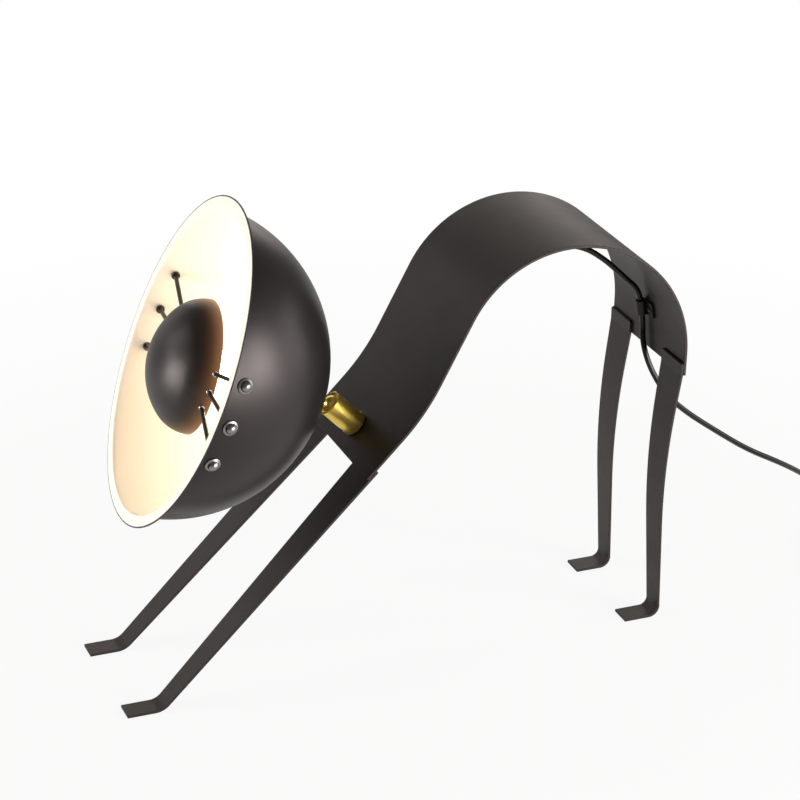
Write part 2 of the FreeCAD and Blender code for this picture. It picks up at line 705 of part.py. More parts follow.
turned("holder_thread", [
    ("threadSleeveRadius - threadSleeveWall", shellZ + " + runningFit"),
    ("threadSleeveRadius", shellZ + " + runningFit"),
    ("threadSleeveRadius", shellZ + " + threadSleeveHeight"),
    ("threadSleeveRadius - threadSleeveWall", shellZ + " + threadSleeveHeight"),
], "headFrame")
contact = padded("contactStrip", "XZ_Plane", [
    ("-contactWidth", shellZ), ("contactWidth", shellZ),
    ("contactWidth", shellZ + " + contactThickness"),
    ("-contactWidth / 4", shellZ + " + contactThickness"),
    ("contactWidth / 3", shellZ + " + contactThickness + contactRise"),
    ("-contactWidth / 4", shellZ + " + contactThickness + contactRise"),
    ("-contactWidth", shellZ + " + contactThickness"),
], "contactWidth")
keep(contact, "holder_contact", "headFrame")

# Bulb: contact tip, screw cap and glass globe.
turned("bulb_tip", [
    ("0", "bulbTipZ"), ("bulbTipRadius", "bulbTipZ + bulbTipHeight / 3"),
    ("bulbCapRadius - bulbTipHeight", "bulbCapZ"), ("0", "bulbCapZ"),
], "headFrame")
turned("bulb_cap", [
    ("0", "bulbCapZ"), ("bulbCapRadius - bulbTipHeight", "bulbCapZ"),
    ("bulbCapRadius", "bulbCapZ + bulbTipHeight / 2"), ("bulbCapRadius", "globeNeckZ"),
    ("bulbCapRadius - bulbCapWall", "globeNeckZ"),
    ("bulbCapRadius - bulbCapWall", "bulbCapZ + bulbTipHeight / 2 + bulbCapWall"),
    ("bulbCapRadius - bulbTipHeight", "bulbCapZ + 2 * bulbCapWall"), ("0", "bulbCapZ + 2 * bulbCapWall"),
], "headFrame")
glassInner = "(globeRadius - glassWall)"
neckInner = "(globeNeckRadius - glassWall)"
turned("bulb_glass", [
    (neckInner, "globeNeckZ"), ("globeNeckRadius", "globeNeckZ"),
    ("globeNeckRadius", "globeNeckZ + globeNeckHeight", "globeRadius", "left"),
    ("0", "globeZ + globeRadius"),
    ("0", "globeZ + " + glassInner, glassInner, "right"),
    (neckInner, "globeZ - sqrt(%s ^ 2 - %s ^ 2)" % (glassInner, neckInner)),
], "headFrame")

# Cord clip: a band bent round the cord, its tab screwed to the rump.
loopRadius = "(cordRadius + runningFit + clipBand)"
alongCord = "placement(vector(%s; 0; " + loopRadius + "); rotationy(90))"
loop = rod("clipLoop", loopRadius, "clipWidth", alongCord % "-clipWidth / 2")
tab = box("clipTabPlate", "-clipWidth / 2", "-clipTab", "0", "clipWidth", "clipTab", "clipPlate")
cordHole = rod("clipBore", "cordRadius + runningFit", "3 * clipWidth", alongCord % "-1.5 * clipWidth")
tabHole = rod("clipScrewHole", "clipScrewRadius + runningFit", "6 * clipPlate", screwSpot % "-2 * clipPlate")
clipBody = combine("Cut", "clipShape", joined("clipBlank", [loop, tab]),
                   joined("clipHoles", [cordHole, tabHole]))
keep(clipBody, "cord_clip", "clipFrame")
screwTop = "(clipPlate + clipScrewHeadHeight)"
turned("clip_screw", [
    ("0", "-stripThickness"), ("clipScrewRadius", "-stripThickness"),
    ("clipScrewRadius", "clipPlate"), ("clipScrewHeadRadius", "clipPlate"),
    ("clipScrewHeadRadius", "clipPlate + clipScrewHeadHeight / 2"),
    ("clipScrewHeadRadius / 2", screwTop), ("0", screwTop),
], "clipFrame * " + screwSpot % "0")

# Cord. Its points are chosen by hand, in the lamp's finished frame.
cord = number("cordRadius")
straight = 2 * cord
clipPlace = places.clipFrame
nippleEnd = places.neckFrame.multVec(Vector(0, 0, -number("nippleTail + 2 * runningFit")))
clipCentre = clipPlace.multVec(Vector(0, 0, number(loopRadius)))
clipLead = clipPlace.Rotation.multVec(Vector(number("clipStraight"), 0, 0))
coilBase = number("tieThickness + tieClearance + cordRadius")
layer = number("2 * cordRadius + coilGap")
heldPoints = [
    (-4.0, -11.4, 193.5), (11.8, -11.4, 191.3), (25.9, -11.3, 198.8), (38.5, -11.2, 221.5),
    (60.7, -11.0, 266.8), (86.7, -10.4, 311.8), (120.9, -9.6, 342.6), (161.7, -8.8, 359.6),
    (194.6, -7.8, 355.0), (219.4, -7.4, 337.6), (239.6, -7.4, 317.0),
]
runPoints = [
    (257.6, -12.0, 252.0), (262.0, -22.0, 228.0), (278.6, -24.4, 200.0), (304.6, -16.4, 175.0),
    (340.6, -5.4, 146.5), (385.6, 12.6, 111.4), (435.6, 33.6, 79.2), (474.6, 56.6, 50.4),
    (500.6, 72.6, 28.6), (517.6, 81.6, 13.0), (538.6, 78.6, 5.0), (554.0, 64.0, 3.0),
    (559.6, 46.0, 3.6), (560.6, 30.0, 6.5),
]
switchStart = Vector(number("switchX"), number("switchY"), number("switchLowerHeight"))
switchCentre = switchStart - Vector(0, number("reliefLength + switchLength / 2"), 0)
switchEnd = switchStart - Vector(0, number("2 * reliefLength + switchLength"), 0)
coilStart = Vector(switchEnd.x, switchEnd.y - number("leadLength"), coilBase)
leadStraight = Vector(0, number("leadStraight"), 0)
leadPoints = [switchEnd - leadStraight, coilStart + leadStraight]


def bend(start, corner, end):
    # the arc that leaves one run and meets the next, the same distance from their corner
    turn = (corner - start).getAngle(end - corner)
    reach = (corner - start).Length
    radius = reach / tan(turn / 2)
    inward = ((start + end) / 2 - corner).normalize()
    middle = corner + inward * radius * (1 / cos(turn / 2) - 1)
    return Part.Arc(start, middle, end).toShape(), radius


def softPath(points):
    # straight runs joined by tangent arcs; each arc takes up this share of its shorter run
    arcShare = 0.45
    radii, edges, at = [], [], points[0]
    for before, corner, after in zip(points, points[1:], points[2:]):
        cut = arcShare * min((corner - before).Length, (after - corner).Length)
        start = corner + (before - corner).normalize() * cut
        end = corner + (after - corner).normalize() * cut
        arc, radius = bend(start, corner, end)
        edges += [Part.LineSegment(at, start).toShape(), arc]
        radii.append(radius)
        at = end
    edges.append(Part.LineSegment(at, points[-1]).toShape())
    return Part.Wire(edges), radii


def tube(path, name):
    start = path.Edges[0].firstVertex().Point
    ahead = path.Edges[0].tangentAt(path.Edges[0].FirstParameter)
    ring = Part.Wire([Part.Circle(start, ahead, cord).toShape()])
    solid = path.makePipeShell([ring], True, False)
    share = solid.Volume / (pi * cord ** 2 * path.Length)
    print("%s: length %.1f, volume over section times length %.4f" % (name, path.Length, share))
    piece = document.addObject("Part::Feature", name)
    piece.Shape = solid
    keep(piece, name)
    return path.Length


def cordPiece(name, points):
    path, radii = softPath(points)
    print("%s: arc radii %s" % (name, " ".join("%.0f" % radius for radius in radii)))
    return tube(path, name)


lengths = {}
lengths["held"] = cordPiece("cord_held", [nippleEnd] + [Vector(*point) for point in heldPoints]
                            + [clipCentre + clipLead, clipCentre])
lengths["run"] = cordPiece("cord_run", [clipCentre, clipCentre - clipLead]
                           + [Vector(*point) for point in runPoints] + [switchStart])
lengths["lead"] = cordPiece("cord_lead", [switchEnd] + leadPoints + [coilStart])

# Put-away coil: its loops spiral in, climb a layer in the half turn where they reverse, and
# spiral out again, clockwise seen from above, from the coil's +X side.
coilRadius = number("coilRadius")
coilTurns = number("coilTurns")
allTurns = 2 * coilTurns + 0.5
coilCentre = coilStart - Vector(coilRadius, straight, 0)
leastRadius = coilRadius - layer * (coilTurns + 0.125)


def coilSpot(turn):
    # a place on the coil's middle line, counted in turns from its start
    fromMiddle = abs(turn - coilTurns - 0.25)
    radius = leastRadius + layer * (fromMiddle - 0.125)
    if fromMiddle < 0.25:
        radius = leastRadius + 2 * layer * fromMiddle ** 2
    share = min(max(2 * (turn - coilTurns), 0.0), 1.0)
    rise = layer * (share - sin(2 * pi * share) / (2 * pi))
    angle = -2 * pi * turn
    return coilCentre + Vector(radius * cos(angle), radius * sin(angle), rise)


def coilHeading(turn):
    if turn in (0, allTurns):
        return Vector(0, 1 if turn else -1, 0)
    return (coilSpot(turn + 0.001) - coilSpot(turn - 0.001)).normalize()


def biarc(start, ahead, end, onward):
    # two arcs that leave one place in its direction and reach the next in its own
    chord = end - start
    along = chord.dot(ahead + onward)
    spread = 2 * (1 - ahead.dot(onward))
    reach = (sqrt(along ** 2 + spread * chord.dot(chord)) - along) / spread
    first = start + ahead * reach
    last = end - onward * reach
    joint = (first + last) / 2
    return [bend(start, first, joint)[0], bend(joint, last, end)[0]]


coilEnd = coilSpot(allTurns) + Vector(0, straight, 0)
coilEdges = [Part.LineSegment(coilStart, coilSpot(0)).toShape()]
for quarter in range(round(4 * allTurns)):
    here, there = quarter / 4, (quarter + 1) / 4
    coilEdges += biarc(coilSpot(here), coilHeading(here), coilSpot(there), coilHeading(there))
coilEdges.append(Part.LineSegment(coilSpot(allTurns), coilEnd).toShape())
coilPath = Part.Wire(coilEdges)
lengths["coil"] = tube(coilPath, "cord_coil")
perTurn = 48
steps = round(allTurns * perTurn)
spots = coilPath.discretize(steps)
gaps = [(spots[i] - spots[j]).Length for i in range(steps) for j in range(i + perTurn // 2, steps)]
print("cord_coil: least gap %.2f" % (min(gaps) - 2 * cord))
plugStart = Vector(coilEnd.x - number("tailShift"), coilEnd.y + number("tailLength"),
                   number("plugThickness / 2"))
tailPoints = [coilEnd + Vector(0, number("tailStraight"), 0),
              plugStart - Vector(0, number("plugStraight"), 0)]
lengths["tail"] = cordPiece("cord_tail", [coilEnd] + tailPoints + [plugStart])

# Tie round the coil's turns, on its -Y side.
tieGap = number("tieClearance")
tieSlack = number("tieSlack")
tieBand = number("tieThickness")
tieWidth = number("tieWidth")
outermost = coilRadius + cord + tieSlack
innermost = leastRadius - cord - tieSlack
roomHeight = layer + 2 * cord + 2 * tieGap
tieCorner = coilCentre - Vector(tieWidth / 2, outermost, coilBase - tieBand)
room = Part.makeBox(2 * tieWidth, outermost - innermost, roomHeight, tieCorner - Vector(tieWidth / 2, 0, 0))
strap = Part.makeBox(tieWidth, outermost - innermost + 2 * tieBand, roomHeight + 2 * tieBand,
                     tieCorner - Vector(0, tieBand, tieBand))
tie = document.addObject("Part::Feature", "cord_tie")
tie.Shape = strap.cut(room)
keep(tie, "cord_tie")

# In-line switch: two half shells, a rocker and a relief at each end; its own X runs along the cord.
halfEnd = "switchLength / 2"
plan = [
    ("-" + halfEnd, "-switchEndWidth / 2"), ("-%s + switchTaper" % halfEnd, "-switchWidth / 2"),
    ("%s - switchTaper" % halfEnd, "-switchWidth / 2"), (halfEnd, "-switchEndWidth / 2"),
    (halfEnd, "switchEndWidth / 2"), ("%s - switchTaper" % halfEnd, "switchWidth / 2"),
    ("-%s + switchTaper" % halfEnd, "switchWidth / 2"), ("-" + halfEnd, "switchEndWidth / 2"),
]
switchFloor = switchCentre - Vector(0, 0, switchCentre.z)
alongSwitch = FreeCAD.Rotation(Vector(0, 0, 1), -90)
lower = padded("switchLowerShell", "XY_Plane", plan, "switchLowerHeight", symmetric=False)
lower.Placement = FreeCAD.Placement(switchFloor, alongSwitch)
keep(lower, "switch_lower")
upperBlank = padded("switchUpperShell", "XY_Plane", plan, "switchUpperHeight", symmetric=False)
pivotZ = "(switchUpperHeight - rockerSink)"
pocketLength = "(rockerRadius + softGap)"
pocket = box("rockerPocket", "-" + pocketLength, "-rockerWidth / 2 - softGap",
             "switchUpperHeight - rockerPocketDepth", "2 * " + pocketLength,
             "rockerWidth + 2 * softGap", "2 * rockerPocketDepth")
pinHole = rod("rockerPinHole", "rockerPinRadius + runningFit",
              "rockerWidth + 2 * rockerPinReach + 2 * softGap",
              "placement(vector(0; rockerWidth / 2 + rockerPinReach + softGap; %s); rotationx(90))" % pivotZ)
upper = combine("Cut", "switchUpperShape", upperBlank, joined("rockerRoom", [pocket, pinHole]))
upper.Placement = FreeCAD.Placement(switchCentre, alongSwitch)
keep(upper, "switch_upper")
rockerEnd = "sqrt(rockerRadius ^ 2 - rockerTop ^ 2)"
rockerLow = "sqrt(rockerRadius ^ 2 - rockerDepth ^ 2)"
paddle = padded("rockerPaddle", "XZ_Plane", [
    ("-" + rockerEnd, "rockerTop", "rockerRadius", "left"), ("-" + rockerLow, "-rockerDepth"),
    (rockerLow, "-rockerDepth", "rockerRadius", "left"), (rockerEnd, "rockerTop"),
    ("0", "rockerTop - rockerDish"),
], "rockerWidth")
pin = rod("rockerPin", "rockerPinRadius", "rockerWidth + 2 * rockerPinReach",
          "placement(vector(0; rockerWidth / 2 + rockerPinReach; 0); rotationx(90))")
rocker = joined("rockerShape", [paddle, pin])
tilt = FreeCAD.Rotation(Vector(0, 1, 0), number("rockerTilt"))
rocker.Placement = FreeCAD.Placement(switchCentre + Vector(0, 0, number(pivotZ)), alongSwitch.multiply(tilt))
keep(rocker, "switch_rocker")


def relief(name, length, tip, heading):
    # a tapered sleeve end; its tip meets the cord and its base meets the housing
    body = turned(name, [
        ("0", "0"), ("reliefTipRadius", "0"), ("reliefRadius", length), ("0", length),
    ])
    body.Placement = FreeCAD.Placement(tip, FreeCAD.Rotation(Vector(0, 0, 1), heading))
    return body


relief("switch_relief_in", "reliefLength", switchStart, Vector(0, -1, 0))
relief("switch_relief_out", "reliefLength", switchEnd, Vector(0, 1, 0))
relief("plug_relief", "plugReliefLength", plugStart, Vector(0, 1, 0))

# Flat two-pin plug; its own X runs from the cord to the pins.
plug = padded("plugShape", "XY_Plane", [
    ("0", "-plugNeckWidth / 2"), ("plugShoulder", "-plugWidth / 2"), ("plugLength", "-plugWidth / 2"),
    ("plugLength", "plugWidth / 2"), ("plugShoulder", "plugWidth / 2"), ("0", "plugNeckWidth / 2"),
], "plugThickness")
plugPlace = FreeCAD.Placement(plugStart + Vector(0, number("plugReliefLength"), 0),
                              FreeCAD.Rotation(Vector(0, 0, 1), 90))
plug.Placement = plugPlace
keep(plug, "plug_body")
pins = [rod("plugPin" + word, "pinRadius", "pinLength",
            "placement(vector(plugLength; (%d) * pinSpacing / 2; 0); rotationy(90))" % side)
        for side, word in ((-1, "Left"), (1, "Right"))]
pinPair = document.addObject("Part::Compound", "plugPinPair")
pinPair.Links = pins
pinPair.Placement = plugPlace
keep(pinPair, "plug_pins")

document.recompute()
total = lengths["run"] + lengths["lead"] + lengths["coil"] + lengths["tail"]
total += number("2 * reliefLength + switchLength + plugReliefLength")
print("cord from the clip to the plug: %.0f" % total)
for item in document.Objects:
    if "Invalid" in item.State or "Error" in item.State:
        raise RuntimeError("%s is %s" % (item.Name, item.State))
os.makedirs("parts", exist_ok=True)
for node in nodes:
    if node.Shape.isNull() or not node.Shape.isValid() or not node.Shape.Solids:
        raise RuntimeError(node.Label + " has no valid solid")
for node in nodes:
    node.Shape.exportStep("parts/%s.step" % node.Label)
print("%d sub-parts written" % len(nodes))
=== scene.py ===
import json
from math import atan2, cos, pi, radians, sin, sqrt

import bmesh
import bpy
from mathutils import Matrix, Vector


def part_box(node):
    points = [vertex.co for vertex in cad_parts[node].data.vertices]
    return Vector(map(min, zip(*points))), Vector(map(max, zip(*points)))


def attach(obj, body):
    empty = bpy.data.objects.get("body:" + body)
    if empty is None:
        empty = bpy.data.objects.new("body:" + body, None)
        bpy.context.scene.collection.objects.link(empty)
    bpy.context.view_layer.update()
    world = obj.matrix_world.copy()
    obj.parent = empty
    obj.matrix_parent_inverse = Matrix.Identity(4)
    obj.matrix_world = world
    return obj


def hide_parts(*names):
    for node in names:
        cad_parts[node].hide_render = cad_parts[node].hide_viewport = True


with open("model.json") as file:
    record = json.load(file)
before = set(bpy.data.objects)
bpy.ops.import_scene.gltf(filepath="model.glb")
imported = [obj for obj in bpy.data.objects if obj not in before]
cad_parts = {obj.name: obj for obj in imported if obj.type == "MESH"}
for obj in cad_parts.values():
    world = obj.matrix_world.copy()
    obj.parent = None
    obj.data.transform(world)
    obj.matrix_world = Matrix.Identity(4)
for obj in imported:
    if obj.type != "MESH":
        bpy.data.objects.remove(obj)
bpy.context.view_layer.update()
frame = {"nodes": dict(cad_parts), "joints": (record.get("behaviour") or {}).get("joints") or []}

mm = 0.001
scene = bpy.context.scene
joints = {joint["name"]: joint for joint in frame["joints"]}
print("frame loaded:", len(frame["nodes"]), "nodes")


# Camera, at the photograph's angle
view = {"place": (-0.85645, -2.26689, 1.3019), "target": (0.01768, -0.01139, 0.2318),
        "lens": 132.28, "sensor": 36.0, "far": 20}


def aim(thing, place, target):
    # sets a camera or lamp down, looking at the target
    thing.location = place
    heading = Vector(target) - thing.location
    thing.rotation_euler = heading.to_track_quat("-Z", "Y").to_euler()
    scene.collection.objects.link(thing)


def addCamera():
    data = bpy.data.cameras.new("photoCamera")
    data.lens = view["lens"]
    data.sensor_width = view["sensor"]
    data.clip_end = view["far"]
    camera = bpy.data.objects.new("photoCamera", data)
    aim(camera, view["place"], view["target"])
    scene.camera = camera


addCamera()
print("camera placed")


# The lamp's slopes and main sizes, and places taken from the frame
lamp = {"frontSlope": 44.8, "headRise": 23.4, "headTurn": 4.7, "ballToSeat": 19.56 * mm,
        "neckSetback": 25.4 * mm, "domeRadius": 140.4 * mm, "domeShift": 7.35 * mm,
        "seatRadius": 13 * mm}
neckPoint = Vector(joints["neck_swivel"]["pos_m"])
neckAxis = Vector(joints["neck_swivel"]["axis"])
ballPoint = Vector(joints["head_tilt"]["pos_m"])
middleY = neckPoint.y
headTilt = (Matrix.Rotation(-radians(lamp["headTurn"]), 4, "Z")
            @ Matrix.Rotation(radians(lamp["headRise"] - 90), 4, "Y"))
domeShift = lamp["domeShift"]
seatZ = domeShift - sqrt(lamp["domeRadius"] ** 2 - lamp["seatRadius"] ** 2)
headReach = lamp["ballToSeat"] - seatZ
headPlace = Matrix.Translation(ballPoint) @ headTilt @ Matrix.Translation((0, 0, headReach))
domePlace = headPlace @ Matrix.Translation((0, 0, domeShift))
# the last of these is how far up the cup the painted rim glow reaches
cupDip, cupDepth, paintedGlowDepth = 5.65, 20.9 * mm, 26 * mm
cupPlace = (headPlace @ Matrix.Translation((0, 0, -cupDepth))
            @ Matrix.Rotation(-radians(cupDip), 4, "Y"))


# Materials
class Wire:
    # one shader socket; sums written with it add their Math nodes
    def __init__(self, board, socket):
        self.board, self.socket = board, socket

    def maths(self, operation, *values):
        return self.board.node("ShaderNodeMath", {"operation": operation}, values)

    def __add__(self, other):
        return self.maths("ADD", self, other)

    def __radd__(self, other):
        return self.maths("ADD", other, self)

    def __sub__(self, other):
        return self.maths("SUBTRACT", self, other)

    def __rsub__(self, other):
        return self.maths("SUBTRACT", other, self)

    def __mul__(self, other):
        return self.maths("MULTIPLY", self, other)

    def __rmul__(self, other):
        return self.maths("MULTIPLY", other, self)

    def clipped(self):
        return self.board.node("ShaderNodeClamp", {}, [self])


class Board:
    # the node tree of one material or of the world, with its main shader
    def __init__(self, owner, shader="Principled BSDF", **constants):
        if isinstance(owner, str):
            owner = bpy.data.materials.new(owner)
        owner.use_nodes = True
        self.material, self.tree = owner, owner.node_tree
        self.shader = self.tree.nodes[shader]
        for key, value in constants.items():
            self.shader.inputs[key.replace("_", " ")].default_value = value

    def node(self, kind, settings=None, values=(), output=0):
        made = self.tree.nodes.new(kind)
        for key, value in (settings or {}).items():
            setattr(made, key, value)
        pairs = values.items() if isinstance(values, dict) else enumerate(values)
        for key, value in pairs:
            if isinstance(value, Wire):
                self.tree.links.new(value.socket, made.inputs[key])
            else:
                made.inputs[key].default_value = value
        return Wire(self, made.outputs[output])

    def feed(self, socket, wire):
        self.tree.links.new(wire.socket, self.shader.inputs[socket])

    def ray(self, kind):
        return self.node("ShaderNodeLightPath", output=f"Is {kind} Ray")

    def spot(self, scale=(1, 1, 1), turn=(0, 0, 0)):
        # object coordinates, stretched or turned for a pattern
        place = self.node("ShaderNodeTexCoord", output="Object")
        return self.node("ShaderNodeMapping", {},
                         {"Vector": place, "Scale": scale, "Rotation": turn})

    def noise(self, scale, detail=3.0, rough=0.5, spot=None):
        return self.node("ShaderNodeTexNoise", {}, {
            "Vector": spot or self.spot(), "Scale": scale, "Detail": detail, "Roughness": rough})

    def blend(self, share, first, second):
        # a colour mix, whose colour sockets are numbers 6 and 7
        return self.node("ShaderNodeMix", {"data_type": "RGBA"}, {0: share, 6: first, 7: second}, 2)

    def grain(self, height, strength, distance):
        self.feed("Normal", self.node("ShaderNodeBump", {}, {
            "Height": height, "Strength": strength, "Distance": distance}))


def colour(red, green, blue, alpha=1.0):
    return (red, green, blue, alpha)


def paint(name, base, lighter, rough, grainScale=2600, grain=0.12, **constants):
    # sprayed paint: a slight drift of colour and sheen, and a fine orange-peel grain
    board = Board(name, **constants)
    drift = board.noise(9, 4, 0.55)
    board.feed("Base Color", board.blend(drift, base, lighter))
    board.feed("Roughness", board.noise(30, 5, 0.6) * 0.10 + (rough - 0.05))
    fine = board.noise(grainScale, 2, 0.5) * 0.7 + board.noise(grainScale / 7, 2, 0.5) * 0.3
    board.grain(fine, grain, 0.0004)
    return board.material


def turnedMetal(name, base, darker, rough, rings=0.05, wearSpread=0.14, **constants):
    # bright metal with faint wear and tool lines
    board = Board(name, **{"Metallic": 1.0, **constants})
    wear = board.noise(160, 5, 0.6)
    board.feed("Base Color", board.blend(wear, base, darker))
    board.feed("Roughness", board.noise(300, 3, 0.5) * wearSpread + (rough - wearSpread / 2))
    lines = board.noise(60, 3, 0.6, board.spot((1, 1, 60), (0, radians(-45), 0)))
    board.grain(lines, rings, 0.0002)
    return board.material


def moulded(name, base, lighter, rough, grain=0.25, **constants):
    # rubber and plastic, dull and finely grained
    board = Board(name, **constants)
    board.feed("Base Color", board.blend(board.noise(40, 3), base, lighter))
    board.feed("Roughness", board.noise(250, 4) * 0.16 + (rough - 0.08))
    board.grain(board.noise(3200, 2), grain, 0.0003)
    return board.material


def litCream():
    # cream paint inside the head; the bulb itself lights it
    board = Board("creamPaint")
    board.feed("Base Color", board.blend(board.noise(12, 4), colour(0.92, 0.87, 0.76),
                                         colour(0.95, 0.90, 0.81)))
    board.feed("Roughness", board.noise(60, 4) * 0.12 + 0.48)
    board.grain(board.noise(2200, 2), 0.08, 0.0003)
    return board.material


def cupPaintWithPaintedGlow():
    # the cup's dark paint, with a painted warm glow along its rim: an orange emission stands in for
    # the lit shade's light reflected there
    board = Board("cupPaintAndPaintedGlow", Specular_IOR_Level=0.40, Specular_Tint=colour(1, 0.90, 0.88),
                  Emission_Strength=0.24)
    board.feed("Base Color", board.blend(
        board.noise(9, 4, 0.55), colour(0.0085, 0.0070, 0.0064), colour(0.0120, 0.0100, 0.0092)))
    board.feed("Roughness", board.noise(30, 5, 0.6) * 0.10 + 0.33)
    rim = tuple(cupPlace.translation)
    axis = tuple(cupPlace.to_3x3() @ Vector((0, 0, 1)))
    place = board.node("ShaderNodeTexCoord", output="Object")
    offset = board.node("ShaderNodeVectorMath", {"operation": "SUBTRACT"}, [place, rim])
    depth = board.node("ShaderNodeVectorMath", {"operation": "DOT_PRODUCT"}, [offset, axis], 1)
    # painted glow: an orange emission, strongest at the rim and fading to nothing a glow depth up
    # the cup
    share = (1 - depth * (1 / paintedGlowDepth)).clipped()
    paintedGlow = share * share * share
    board.feed("Emission Color", board.blend(paintedGlow, colour(0, 0, 0), colour(1.0, 0.38, 0.11)))
    fine = board.noise(3000, 2, 0.5) * 0.7 + board.noise(430, 2, 0.5) * 0.3
    board.grain(fine, 0.08, 0.0004)
    return board.material


def glowingGlass():
    # the bulb's frosted glass, which is the lamp's own light
    board = Board("frostedGlass", Roughness=0.35, IOR=1.45, Emission_Strength=12.0)
    haze = board.noise(70, 4, 0.6)
    board.feed("Base Color", board.blend(haze, colour(1, 0.93, 0.80), colour(1, 0.96, 0.88)))
    board.feed("Emission Color", board.blend(haze, colour(1, 0.78, 0.57), colour(1, 0.82, 0.63)))
    board.grain(board.noise(2500, 2), 0.05, 0.0002)
    return board.material


def cordSheath():
    # smooth black sheath of the mains cord
    board = Board("cordSheath", Specular_IOR_Level=0.30)
    board.feed("Base Color", board.blend(board.noise(55, 4), colour(0.0035, 0.0035, 0.0036),
                                         colour(0.0070, 0.0068, 0.0068)))
    board.feed("Roughness", board.noise(140, 4) * 0.10 + 0.20)
    board.grain(board.noise(1400, 3), 0.10, 0.0003)
    return board.material


finishes = {
    "body": paint("bodyPowderCoat", colour(0.0195, 0.0158, 0.0142), colour(0.0255, 0.0208, 0.0184),
                  0.46, Specular_IOR_Level=0.33, Specular_Tint=colour(1, 0.90, 0.88)),
    "shade": paint("shadePaint", colour(0.0095, 0.0080, 0.0078), colour(0.0130, 0.0110, 0.0106),
                   0.37, 3000, 0.06, Specular_IOR_Level=0.40, Specular_Tint=colour(1, 0.90, 0.89)),
    "cup": cupPaintWithPaintedGlow(),
    "cream": litCream(),
    "rod": paint("whiskerPaint", colour(0.012, 0.011, 0.010), colour(0.018, 0.016, 0.015), 0.32,
                 4200, 0.10, Specular_IOR_Level=0.35),
    "brass": turnedMetal("polishedBrass", colour(1.0, 0.75, 0.18), colour(0.94, 0.64, 0.11), 0.30,
                         0.015, 0.04, Metallic=0.90),
    "plainBrass": turnedMetal("plainBrass", colour(0.78, 0.60, 0.28), colour(0.66, 0.48, 0.20),
                              0.32, 0.1),
    "zinc": turnedMetal("zincSteel", colour(0.60, 0.60, 0.58), colour(0.45, 0.45, 0.44), 0.34,
                        0.15),
    "gunmetal": turnedMetal("gunmetalNut", colour(0.36, 0.35, 0.34), colour(0.24, 0.235, 0.23),
                            0.30),
    "blackScrew": turnedMetal("blackenedScrew", colour(0.075, 0.072, 0.070),
                              colour(0.045, 0.043, 0.042), 0.34),
    # near-black bead finish: partly the real weld, partly painted shade of the gap between leg and
    # strip
    "weld": moulded("weldBeadAndPaintedShade", colour(0.0035, 0.0032, 0.0030), colour(0.0080, 0.0072, 0.0068),
                    0.55, 0.6, Specular_IOR_Level=0.15),
    "bead": turnedMetal("brightBead", colour(0.62, 0.60, 0.58), colour(0.46, 0.45, 0.43), 0.22),
    "bulbCap": turnedMetal("bulbCapMetal", colour(0.74, 0.74, 0.73), colour(0.60, 0.60, 0.60),
                           0.28),
    "glass": glowingGlass(),
    "ceramic": moulded("holderPlastic", colour(0.70, 0.66, 0.58), colour(0.76, 0.73, 0.66), 0.40,
                       0.08),
    "rubber": moulded("rubberBlack", colour(0.006, 0.006, 0.006), colour(0.010, 0.010, 0.010), 0.60,
                      Specular_IOR_Level=0.25),
    "plastic": moulded("plasticBlack", colour(0.006, 0.006, 0.006), colour(0.010, 0.010, 0.010),
                       0.42, Specular_IOR_Level=0.30),
    "rocker": moulded("rockerBlack", colour(0.005, 0.005, 0.005), colour(0.008, 0.008, 0.008), 0.22,
                      0.05, Specular_IOR_Level=0.35),
    "sheath": cordSheath(),
    "pin": turnedMetal("nickelPin", colour(0.72, 0.69, 0.62), colour(0.60, 0.57, 0.50), 0.24),
}
print("materials made:", len(finishes))


# Shape helpers
class Drawing:
    # a chain of points in the XZ plane, then spun round Z or pulled along Y into a shape
    def __init__(self, x, z):
        self.mesh = bmesh.new()
        self.last = self.first = self.mesh.verts.new((x, 0, z))

    def line(self, x, z):
        self.last = bmesh.ops.extrude_vert_indiv(self.mesh, verts=[self.last])["verts"][0]
        self.last.co = (x, 0, z)
        return self

    def path(self, *spots):
        for x, z in spots:
            self.line(x, z)
        return self

    def arc(self, x, z, degrees, steps=12):
        # turns round the centre (x, z), anticlockwise as seen from the -Y side
        made = bmesh.ops.spin(self.mesh, geom=[self.last], cent=(x, 0, z), axis=(0, 1, 0),
                              angle=-radians(degrees), steps=steps)
        self.last = [item for item in made["geom_last"] if isinstance(item, bmesh.types.BMVert)][0]
        return self

    def onward(self, length, degrees):
        here = self.last.co
        return self.line(here.x + length * cos(radians(degrees)),
                         here.z + length * sin(radians(degrees)))

    def turn(self, radius, heading, newHeading, steps=12):
        # a bend from one heading to the next; a growing heading turns to the left
        side = 1 if newHeading > heading else -1
        here = self.last.co
        centre = (here.x - side * radius * sin(radians(heading)),
                  here.z + side * radius * cos(radians(heading)))
        return self.arc(*centre, newHeading - heading, steps)

    def close(self):
        self.mesh.edges.new((self.last, self.first))
        return self

    def spun(self, steps=96):
        bmesh.ops.spin(self.mesh, geom=self.mesh.verts[:] + self.mesh.edges[:], cent=(0, 0, 0),
                       axis=(0, 0, 1), angle=2 * pi, steps=steps, use_merge=True)
        bmesh.ops.remove_doubles(self.mesh, verts=self.mesh.verts, dist=1e-7)
        bmesh.ops.recalc_face_normals(self.mesh, faces=self.mesh.faces)
        return self.mesh

    def pulled(self, width):
        made = bmesh.ops.extrude_edge_only(self.mesh, edges=self.mesh.edges[:])["geom"]
        corners = [item for item in made if isinstance(item, bmesh.types.BMVert)]
        bmesh.ops.translate(self.mesh, verts=corners, vec=(0, width, 0))
        return self.mesh


